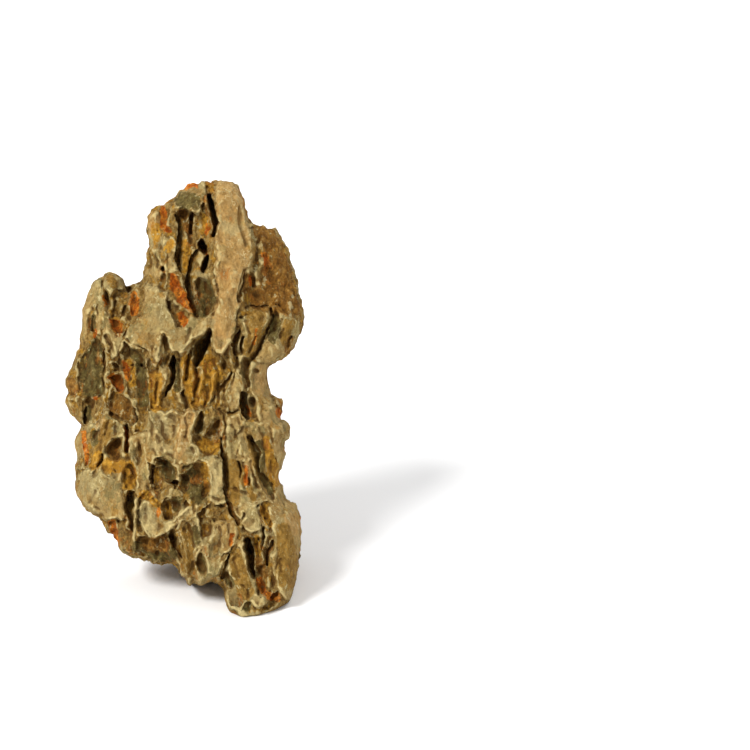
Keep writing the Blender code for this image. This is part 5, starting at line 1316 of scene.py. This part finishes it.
def fill_diagonals(distance):
    """Fills a voxel wherever stone meets stone along an edge only, until no such place is left.

    Four voxels in a square with only two opposite ones solid would give an edge with four faces.
    """
    solid = distance < 0
    found = True
    while found:
        found = False
        for axis in range(3):
            layers = np.moveaxis(solid, axis, 0)
            a, b = layers[:, :-1, :-1], layers[:, 1:, 1:]
            c, d = layers[:, 1:, :-1], layers[:, :-1, 1:]
            one = a & b & ~c & ~d
            two = c & d & ~a & ~b
            found = found or one.any() or two.any()
            c[one] = True
            a[two] = True
    distance[solid & (distance >= 0)] = -0.1 * VOXEL


def surface_nets(block, distance):
    """Mesh of the zero level: a point in each cube of voxels that the level passes through.

    It lies at the mean of the crossings on the cube's edges, where the distances at the two ends
    of an edge balance. The four cubes round each crossing give a face.
    """
    stride = np.array([distance.shape[1] * distance.shape[2], distance.shape[2], 1])
    cubes, spots = [], []
    for axis in range(3):
        near = np.moveaxis(distance, axis, 0)[:-1]
        far = np.moveaxis(distance, axis, 0)[1:]
        found = np.argwhere((near < 0) != (far < 0))
        a, b = near[tuple(found.T)], far[tuple(found.T)]
        others = [i for i in range(3) if i != axis]
        index = np.empty_like(found)
        index[:, axis] = found[:, 0]
        index[:, others] = found[:, 1:]
        spot = index.astype(float)
        spot[:, axis] += a / (a - b)
        side, up = np.eye(3, dtype=int)[[(axis + 1) % 3, (axis + 2) % 3]]
        ring = np.stack([index - side - up, index - up, index, index - side], 1)
        ring = np.where((a > 0)[:, None, None], ring[:, ::-1], ring)
        cubes.append((ring * stride).sum(-1))
        spots.append(np.repeat(spot[:, None], 4, 1))
    cubes = np.concatenate(cubes)
    spots = np.concatenate(spots).reshape(-1, 3)
    _, point, count = np.unique(cubes.ravel(), return_inverse=True, return_counts=True)
    point = point.ravel()
    middle = np.stack([np.bincount(point, spots[:, i]) / count for i in range(3)], -1)
    return block.low + VOXEL * middle, point.reshape(-1, 4)


def without_crumbs(points, faces):
    """Keeps the largest piece of the mesh: each point takes the lowest number it is joined to."""
    label = np.arange(len(points))
    settled = False
    while not settled:
        lowest = label.copy()
        np.minimum.at(lowest, faces.ravel(), np.repeat(label[faces].min(1), 4))
        lowest = lowest[lowest]
        settled = (lowest == label).all()
        label = lowest
    kept = label == np.bincount(label).argmax()
    number = np.cumsum(kept) - 1
    return points[kept], number[faces[kept[faces[:, 0]]]]


def normals(points, faces):
    """Outward direction at each point: the facing of the four-sided faces round it, summed."""
    one, two = points[faces[:, 2]] - points[faces[:, 0]], points[faces[:, 3]] - points[faces[:, 1]]
    facing = np.cross(one, two)
    total = np.stack(
        [np.bincount(faces.ravel(), np.repeat(facing[:, i], 4), len(points)) for i in range(3)], -1
    )
    return total / np.maximum(np.linalg.norm(total, axis=1, keepdims=True), 1e-12)


def upright(points):
    """Drawing to room: turned upright, leaned back, centred, with the resting plane at height 0."""
    x, y, z = points.T
    sine, cosine = math.sin(LEAN), math.cos(LEAN)
    back = y * sine - z * cosine - CENTRE[1]
    return np.stack([x - CENTRE[0], back, y * cosine + z * sine - REST_HEIGHT], -1) * MM


def weathered(block, body, distance, points, faces):
    """Points moved along their normals: upright bowls and ribs, quieter on the old skin.

    Crests of the main face first sag a little down over the hollows under them. The foot is spared,
    and thin edges, where the stone's far side is near. What is taken off a pattern is how far the
    surface sinks where that is 0.
    """
    x, y, z = points.T
    out = normals(points, faces)
    height = upright(points)[:, 2] / MM
    sturdy = np.clip(-block.probe(distance, points - 3.5 * out) / 3.3, 0, 1) ** 2
    free = blend(0.2, 4, height) * sturdy
    front = blend(-2, 4, z)
    skin = block.look_up(block.skin, x, y) * front
    deep = np.clip(-block.probe(body, points) / 3, 0, 1)
    points[:, 1] -= SAG * free * front * (1 - deep) * block.look_up(block.raised, x, y)
    loose = 1 - 0.85 * deep
    side = (1 - front) * (0.25 + 0.75 * blend(0, 7, block.look_up(block.depth, x, y)))
    move = side * loose * (pattern("side bowls", points) - 3.1)
    move += side * loose * (pattern("lesser side bowls", points) - 0.9)
    move += side * loose * pattern("side ribs", points)
    points = points + out * (move * free)[:, None]
    out = normals(points, faces)
    rough = (1 - 0.78 * skin) * (1 - 0.45 * deep)
    move = rough * (pattern("worn bowls", points) - 1.0)
    move += rough * pattern("worn ribs", points)
    move += pattern("grain", points) + rough * pattern("worn swell", points)
    move += rough * (pattern("pocks", points) - 0.35)
    points = points + out * (move * free)[:, None]
    return points


def carve_block():
    """The block of voxels, and the distances to the whole body and to the carved stone."""
    block = Block()
    body = body_distance(block)
    distance = body.copy()
    carve_scoops(block, body, distance)
    z = block.axes[2][None, None, :]
    sheet = np.maximum(body, np.abs(z - SHEET_MIDDLE) - SHEET_HALF)
    distance = np.minimum(np.maximum(distance, flanges(block, distance)), sheet)
    for recess in RECESSES.values():
        carve_recess(block, distance, recess)
    for pit in sum(PITS.values(), []):
        carve_pit(block, distance, pit)
    height = block.y[..., None] * math.cos(LEAN) + z * math.sin(LEAN) - REST_HEIGHT
    distance = np.maximum(distance, -height).astype(np.float32)
    fill_diagonals(distance)
    return block, body, distance


def new_mesh(name, points, faces):
    """A smooth-shaded object made of four-sided faces."""
    mesh = bpy.data.meshes.new(name)
    mesh.from_pydata(points, [], faces.tolist())
    mesh.polygons.foreach_set("use_smooth", np.ones(len(mesh.polygons), bool))
    mesh.update()
    thing = bpy.data.objects.new(name, mesh)
    bpy.context.scene.collection.objects.link(thing)
    return thing


def fewer_triangles(thing, most):
    """Thins the mesh where it is flattest, to at most this many triangles."""
    sides = np.empty(len(thing.data.polygons), np.int32)
    thing.data.polygons.foreach_get("loop_total", sides)
    share = most / (sides - 2).sum()
    if share < 1:
        thin = thing.modifiers.new("thin", "DECIMATE")
        thin.ratio = share
        ready = thing.evaluated_get(bpy.context.evaluated_depsgraph_get())
        thing.data = bpy.data.meshes.new_from_object(ready)
        thing.modifiers.clear()


def keep_inside(thing, low, high):
    """Puts the few points that thinning pushed out of the box back on its sides."""
    room = np.empty(len(thing.data.vertices) * 3)
    thing.data.vertices.foreach_get("co", room)
    room = np.clip(room.reshape(-1, 3), low, high)
    thing.data.vertices.foreach_set("co", room.ravel())
    thing.data.update()


def drawn_place(room):
    """Room back to drawing: the reverse of upright."""
    x, back, up = (room / MM).T
    back, up = back + CENTRE[1], up + REST_HEIGHT
    sine, cosine = math.sin(LEAN), math.cos(LEAN)
    return np.stack([x + CENTRE[0], back * sine + up * cosine, up * sine - back * cosine], -1)


def mark(thing, name, values):
    """Stores a value at each point of the mesh, for the material to read."""
    numbers = thing.data.attributes.new(name, "FLOAT", "POINT")
    numbers.data.foreach_set("value", values.astype(np.float32))


def crests(thing, points):
    """Above 0 on crests and below 0 in creases, about from -1 to 1.

    How far each point stands out from the mean of its neighbours along its normal, as a share of
    the mean distance to them, then evened out twice with those round it. A share of SHARP is 1.
    """
    pairs = np.empty(2 * len(thing.data.edges), np.int32)
    thing.data.edges.foreach_get("vertices", pairs)
    pairs = pairs.reshape(-1, 2)
    here, there = np.concatenate([pairs, pairs[:, ::-1]]).T
    facing = np.empty(3 * len(points))
    thing.data.vertices.foreach_get("normal", facing)
    count = np.maximum(np.bincount(here, minlength=len(points)), 1)

    def round_about(values):
        """Mean of the values at each point's neighbours."""
        return np.bincount(here, values[there], len(points)) / count

    mean = np.stack([round_about(axis) for axis in points.T], -1)
    apart = np.linalg.norm(points[here] - points[there], axis=1)
    reach = np.bincount(here, apart, len(points)) / count
    out = ((points - mean) * facing.reshape(-1, 3)).sum(-1) / np.maximum(reach, 1e-9)
    for _ in range(2):
        out = 0.5 * (out + round_about(out))
    return out / SHARP


def mark_wear_and_painted_light(thing, block, distance):
    """Stores at each point what the material reads, from 0 to 1 each.

    front: how far it is part of the main face. edge: crests and folds, which the material paints pale,
    as wear and as painted highlight. crease: creases, darkened as painted shade. nook: deep in a pit,
    with more stone than air round it, darkened as painted shade. And each painted colour, which fades
    across the drawn edges of its patches.
    """
    room = np.empty(len(thing.data.vertices) * 3)
    thing.data.vertices.foreach_get("co", room)
    room = room.reshape(-1, 3)
    points = drawn_place(room)
    x, y, z = points.T
    front = blend(-3, 5, z)
    crest = crests(thing, room)
    near = block.probe(solid_share(distance, 5), points)
    mark(thing, "front", front)
    fold = block.look_up(block.fold, x, y) * front
    # Crests are painted pale, partly as a highlight; creases and nooks deep in pits are darkened as
    # painted shade.
    mark(thing, "edge", np.clip(crest + 0.22 * fold, 0, 1))
    mark(thing, "crease", np.clip(-crest - 0.5 * np.minimum(fold, 0), 0, 1))
    mark(thing, "nook", np.clip((near - 0.5) / 0.35, 0, 1))
    mark(thing, "skin", block.look_up(block.skin, x, y) * front)
    for name, patches in PAINT.items():
        nearest = np.full(block.x.shape, 9.0)
        for path in patches:
            share, half = stroke(block.ragged_x, block.ragged_y, path)
            nearest = np.minimum(nearest, (share - 1) * np.minimum(half, 2))
        laid = np.clip(0.5 - nearest / 4, 0, 1)
        mark(thing, name, block.look_up(laid, x, y) * front)


def linear(code):
    """A colour written as six hex digits, with the sRGB curve undone as a shader needs it."""
    values = [int(code[i:i + 2], 16) / 255 for i in (0, 2, 4)]
    return [v / 12.92 if v <= 0.04045 else ((v + 0.055) / 1.055) ** 2.4 for v in values] + [1]


# Patterns that colour and roughen the stone: size of their grains, how far those are drawn out
# upwards, detail and roughness of the noise. The sizes are those of the marks on the real stone but
# for the grit, whose grains are well under 1 mm and are drawn coarser, so that they show at all.
GRAINS = {
    "grit": (1.5, 1.2, 5, 0.7),
    "crust": (1.7, 1.3, 5, 0.65),
    "streaks": (2.6, 4, 5, 0.65),
    "borders": (3, 1.6, 5, 0.65),
    "flecks": (3.4, 1.6, 4, 0.6),
    "spots": (4.2, 1.2, 4, 0.65),
    "medium": (5, 1, 5, 0.6),
    "dust": (6, 1.6, 7, 0.75),
    "scratches": (7, 2.5, 3, 0.6),
    "amber": (8, 1.7, 7, 0.72),
    "stains": (9, 2.2, 6, 0.72),
    "olive": (9.5, 1.7, 7, 0.72),
    "clusters": (11, 1, 3, 0.6),
    "cracks": (12, 0.8, 5, 0.55),
    "umber": (13, 1.7, 7, 0.72),
    "broad": (26, 1, 3, 0.6),
}

# Colours painted on: two tones, the size of the patches strewn over the back, and how well the
# colour covers.
PAINTS = {
    "tan": ("B98F50", "C69F61", 40, 0.88),
    "brown": ("85601F", "A57C34", 34, 0.88),
    "ochre": ("AE781E", "D29A33", 15, 0.88),
    "slate": ("52441F", "706233", 22, 0.88),
    "umber": ("82541A", "A87833", 30, 0.9),
    "rust": ("B0530A", "DE8526", 13, 0.97),
}


def weathered_clay_stone():
    """Dry matt dragon stone: it gives the eye a chalky surface with no gleam, in patches.

    Tan skin over ochre ground, rust, slate and umber stains, crests pale from chips and a painted
    highlight, creases and nooks darkened as painted shade.
    """
    material = bpy.data.materials.new("dragon_stone_weathered_clay")
    material.use_nodes = True
    tree = material.node_tree
    tree.nodes.clear()

    def add(kind, inputs=(), output=0, **settings):
        """Adds a node, with its settings and with its inputs set or linked; gives one output."""
        made = tree.nodes.new("ShaderNode" + kind)
        for name, value in settings.items():
            setattr(made, name, value)
        for socket, value in dict(inputs).items():
            if isinstance(value, bpy.types.NodeSocket):
                tree.links.new(value, made.inputs[socket])
            else:
                made.inputs[socket].default_value = value
        return made.outputs[output] if made.outputs else None

    smooth = {"interpolation_type": "SMOOTHSTEP"}

    def layered(colour, *layers):
        """Colours laid over one another, each where its value passes from low to high."""
        for value, low, high, most, code in layers:
            over = linear(code) if isinstance(code, str) else code
            share = add("MapRange", {0: value, 1: low, 2: high, 4: most}, **smooth)
            colour = add("Mix", {0: share, 6: colour, 7: over}, 2, data_type="RGBA")
        return colour

    def hairlines(pattern, none, full):
        """Winding lines where a pattern passes its middle: 0 this far off that, 1 this near it."""
        off = add("Math", {0: pattern, 1: 0.5}, operation="SUBTRACT")
        off = add("Math", {0: off}, operation="ABSOLUTE")
        return add("MapRange", {0: off, 1: none, 2: full}, **smooth)

    place = add("TexCoord", output="Object")
    grain = {}
    for name, (size, stretch, detail, rough) in GRAINS.items():
        drawn_out = add("Mapping", {"Vector": place, "Scale": (1, 1, 1 / stretch)})
        sizes = {"Vector": drawn_out, "Scale": 1 / (size * MM), "Detail": detail, "Roughness": rough}
        grain[name] = add("TexNoise", sizes)
    marks = ("edge", "crease", "nook", "skin", "front", "pale", *PAINTS)
    at = {name: add("Attribute", output="Fac", attribute_name=name) for name in marks}
    # chips: cells whose faces each slant their own way, stirred so that no side of one is straight
    shift = add("TexNoise", {"Vector": place, "Scale": 1 / (3 * MM)}, "Color")
    stirred = add("VectorMath", {0: shift, 1: (4.4 * MM,) * 3, 2: place}, operation="MULTIPLY_ADD")
    tall = add("Mapping", {"Vector": stirred, "Scale": (1, 1, 0.55)})
    chip = add("TexVoronoi", {"Vector": tall, "Scale": 1 / (4.5 * MM)}, "Color")
    tilt = add("VectorMath", {0: chip, 1: (0.5,) * 3}, operation="SUBTRACT")
    off = add("VectorMath", {0: tall, 1: chip.node.outputs["Position"]}, operation="SUBTRACT")
    slant = add("VectorMath", {0: tilt, 1: off}, "Value", operation="DOT_PRODUCT")
    flakes = add("TexVoronoi", {"Vector": stirred, "Scale": 1 / (3.4 * MM)}, "Color")
    flake = add("SeparateColor", {0: flakes})
    rough = add("Math", {0: at["skin"], 1: -0.5, 2: 1.0}, operation="MULTIPLY_ADD")

    ground = layered(
        linear("84622B"),
        (grain["streaks"], 0.4, 0.6, 1, "AC8A4B"),
        (grain["medium"], 0.52, 0.6, 1, "B4842F"),
    )
    plate = layered(
        linear("B5955A"),
        (grain["broad"], 0.4, 0.6, 1, "A8935F"),
        (grain["streaks"], 0.5, 0.72, 1, "98793F"),
        (grain["umber"], 0.53, 0.56, 0.7, "97733A"),
        (grain["amber"], 0.56, 0.59, 0.7, "AC7F36"),
        (grain["olive"], 0.56, 0.59, 0.7, "857647"),
    )
    worn = add("Math", {0: grain["medium"], 1: 0.9, 2: at["skin"]}, operation="MULTIPLY_ADD")
    colour = layered(ground, (worn, 0.83, 0.97, 1, plate))

    away = add("Math", {0: 1.0, 1: at["front"]}, operation="SUBTRACT")
    upright_place = add("Mapping", {"Vector": place, "Scale": (1, 1, 0.5)})
    covered = at["rust"]
    for name, (code, code_two, size, cover) in PAINTS.items():
        tone = layered(linear(code), (grain["flecks"], 0.42, 0.58, 1, code_two))
        laid = add("Math", {0: grain["borders"], 1: 0.8, 2: at[name]}, operation="MULTIPLY_ADD")
        laid = add("MapRange", {0: laid, 1: 0.8, 2: 1.0}, **smooth)
        sizes = {"Vector": upright_place, "Scale": 1 / (size * MM), "Detail": 4, "Roughness": 0.6}
        patches = add("MapRange", {0: add("TexNoise", sizes), 1: 0.6, 2: 0.63}, **smooth)
        strewn = add("Math", {0: patches, 1: away}, operation="MULTIPLY")
        share = add("Math", {0: laid, 1: strewn}, operation="MAXIMUM")
        colour = layered(colour, (share, 0, 1, cover, tone))
        if name != "tan":
            covered = add("Math", {0: covered, 1: share}, operation="MAXIMUM")

    stained = add("Math", {0: at["skin"], 1: -0.06, 2: grain["stains"]}, operation="MULTIPLY_ADD")
    chalk = add("Math", {0: grain["crust"], 1: 1.1, 2: at["pale"]}, operation="MULTIPLY_ADD")
    dust = add("Math", {0: covered, 1: -0.05, 2: grain["dust"]}, operation="MULTIPLY_ADD")
    colour = layered(
        colour,
        (stained, 0.56, 0.62, 0.7, "B4702A"),
        (dust, 0.56, 0.6, 0.5, "BDA565"),
        (grain["spots"], 0.6, 0.63, 0.5, "7C5B28"),
        (grain["flecks"], 0.62, 0.65, 0.4, "858055"),
        (grain["crust"], 0.61, 0.66, 0.45, "CDB77B"),
        (chalk, 0.95, 1.25, 0.55, "C9B47B"),
    )
    shade = add("MapRange", {0: grain["grit"], 1: 0.36, 2: 0.64, 3: -0.5, 4: 0.5}, **smooth)
    shade = add("Math", {0: shade, 1: rough}, operation="MULTIPLY")
    shade = add("Math", {0: shade, 1: 0.5, 2: 0.84}, operation="MULTIPLY_ADD")
    facet = add("Math", {0: flake, 1: 0.16, 2: 0.92}, operation="MULTIPLY_ADD")
    shade = add("Math", {0: shade, 1: facet}, operation="MULTIPLY")
    shade = add("CombineColor", {0: shade, 1: shade, 2: shade})
    colour = add("Mix", {0: 1.0, 6: colour, 7: shade}, 2, data_type="RGBA", blend_type="MULTIPLY")

    # Pale crests: chipped and worn, and also a painted highlight where light would catch their rims.
    kept = add("MapRange", {0: grain["medium"], 1: 0.36, 2: 0.5}, **smooth)
    worn_crest_and_highlight = add("Math", {0: at["edge"], 1: kept}, operation="MULTIPLY")
    spared = add("Math", {0: covered, 1: -0.6, 2: 1.0}, operation="MULTIPLY_ADD")
    worn_crest_and_highlight = add("Math", {0: worn_crest_and_highlight, 1: spared}, operation="MULTIPLY")
    clusters = add("MapRange", {0: grain["clusters"], 1: 0.5, 2: 0.6}, **smooth)
    clusters = add("Math", {0: clusters, 1: at["umber"]}, operation="MULTIPLY")
    crusted = add("Math", {0: clusters, 1: 0.13, 2: grain["flecks"]}, operation="MULTIPLY_ADD")
    places = add("MapRange", {0: grain["broad"], 1: 0.48, 2: 0.6}, **smooth)
    scratch = hairlines(grain["scratches"], 0.012, 0.004)
    scratch = add("Math", {0: scratch, 1: places}, operation="MULTIPLY")
    scratch = add("Math", {0: scratch, 1: spared}, operation="MULTIPLY")
    places = add("MapRange", {0: grain["stains"], 1: 0.5, 2: 0.56}, **smooth)
    bare = add("Math", {0: at["skin"], 1: -0.8, 2: 1.0}, operation="MULTIPLY_ADD")
    crack = hairlines(grain["cracks"], 0.01, 0.002)
    crack = add("Math", {0: crack, 1: places}, operation="MULTIPLY")
    crack = add("Math", {0: crack, 1: bare}, operation="MULTIPLY")
    colour = layered(
        colour,
        # pale crests: worn chips together with a painted highlight
        (worn_crest_and_highlight, 0.15, 0.6, 0.75, "D6C084"),
        (crusted, 0.66, 0.7, 0.6, "D9C791"),
        (scratch, 0.2, 1, 0.6, "D9C791"),
        (crack, 0, 1, 0.6, "4F3110"),
        # painted shade: creases darkened where shadow lines fall
        (at["crease"], 0.1, 0.75, 0.72, "4F3110"),
        # painted shade: nooks deep in the pits darkened, as occlusion would shade them
        (at["nook"], 0.25, 0.9, 0.4, "684111"),
    )

    relief = add("Math", {0: grain["grit"], 1: 1.5}, operation="MULTIPLY")
    relief = add("Math", {0: flake, 1: 0.22, 2: relief}, operation="MULTIPLY_ADD")
    hollow = flakes.node.outputs["Distance"]
    relief = add("Math", {0: hollow, 1: 0.4, 2: relief}, operation="MULTIPLY_ADD")
    relief = add("Math", {0: slant, 1: 0.55 / MM, 2: relief}, operation="MULTIPLY_ADD")
    streaks = add("Math", {0: grain["streaks"], 1: 0.6}, operation="MULTIPLY")
    relief = add("Math", {0: relief, 1: rough, 2: streaks}, operation="MULTIPLY_ADD")
    relief = add("Math", {0: crack, 1: -0.5, 2: relief}, operation="MULTIPLY_ADD")
    bump = add("Bump", {"Height": relief, "Distance": 2 * MM, "Strength": 1.0})
    finish = {"Base Color": colour, "Roughness": 0.9, "Normal": bump, "Specular IOR Level": 0.12}
    add("OutputMaterial", {"Surface": add("BsdfPrincipled", finish)})
    return material


def plain(name, code, roughness):
    """One even colour, with no pattern: on the floor it gives the eye a matt white sheet."""
    material = bpy.data.materials.new(name)
    material.use_nodes = True
    surface = material.node_tree.nodes["Principled BSDF"]
    surface.inputs["Base Color"].default_value = linear(code)
    surface.inputs["Roughness"].default_value = roughness
    return material


# Lights: strength, how wide each looks in degrees, and the direction it shines from.
LIGHTS = {
    "key": (3.4, 20, (-0.52, -0.55, 0.72)),
    "fill": (1.3, 40, (0.45, 0.75, 0.6)),
}
SKY = 0.66  # strength of the even white light from all round
AIM = (101.5, 125.9, 0.0)  # place in the drawing at the middle of the view
CAMERA_AWAY = 2.5  # metres from there
LENS = 226.4  # mm


def set_the_stage():
    """Pale floor, soft key from the upper left, weak fill behind, camera square to the main face."""
    scene = bpy.context.scene
    corners = [(-6, -4, 0), (6, -4, 0), (6, 8, 0), (-6, 8, 0)]
    floor = new_mesh("floor", corners, np.array([[0, 1, 2, 3]]))
    floor.data.materials.append(plain("floor_matt_white", "F4F4F4", 0.9))
    world = bpy.data.worlds.new("studio")
    world.use_nodes = True
    world.node_tree.nodes["Background"].inputs["Color"].default_value = (1, 1, 1, 1)
    world.node_tree.nodes["Background"].inputs["Strength"].default_value = SKY
    scene.world = world
    for name, (energy, angle, towards) in LIGHTS.items():
        light = bpy.data.lights.new(name, "SUN")
        light.energy = energy
        light.angle = math.radians(angle)
        lamp = bpy.data.objects.new(name, light)
        lamp.rotation_euler = Vector(towards).to_track_quat("Z", "Y").to_euler()
        scene.collection.objects.link(lamp)

    aim = Vector(upright(np.array([AIM]))[0])
    back = Vector((0, -math.cos(LEAN), math.sin(LEAN)))
    camera = bpy.data.objects.new("camera", bpy.data.cameras.new("camera"))
    camera.location = aim + back * CAMERA_AWAY
    camera.rotation_euler = back.to_track_quat("Z", "Y").to_euler()
    camera.data.lens = LENS
    scene.collection.objects.link(camera)
    scene.camera = camera
    scene.view_settings.view_transform = "Standard"


block, body, distance = carve_block()
points, faces = without_crumbs(*surface_nets(block, distance))
room = upright(weathered(block, body, distance, points, faces))
room = np.clip(room, *CAD_BOX)
stone = new_mesh("dragon_stone_surface", room, faces)
fewer_triangles(stone, MOST_TRIANGLES)
keep_inside(stone, *CAD_BOX)
mark_wear_and_painted_light(stone, block, distance)
stone.data.materials.append(weathered_clay_stone())
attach(stone, "root")
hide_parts("dragon_stone")
set_the_stage()
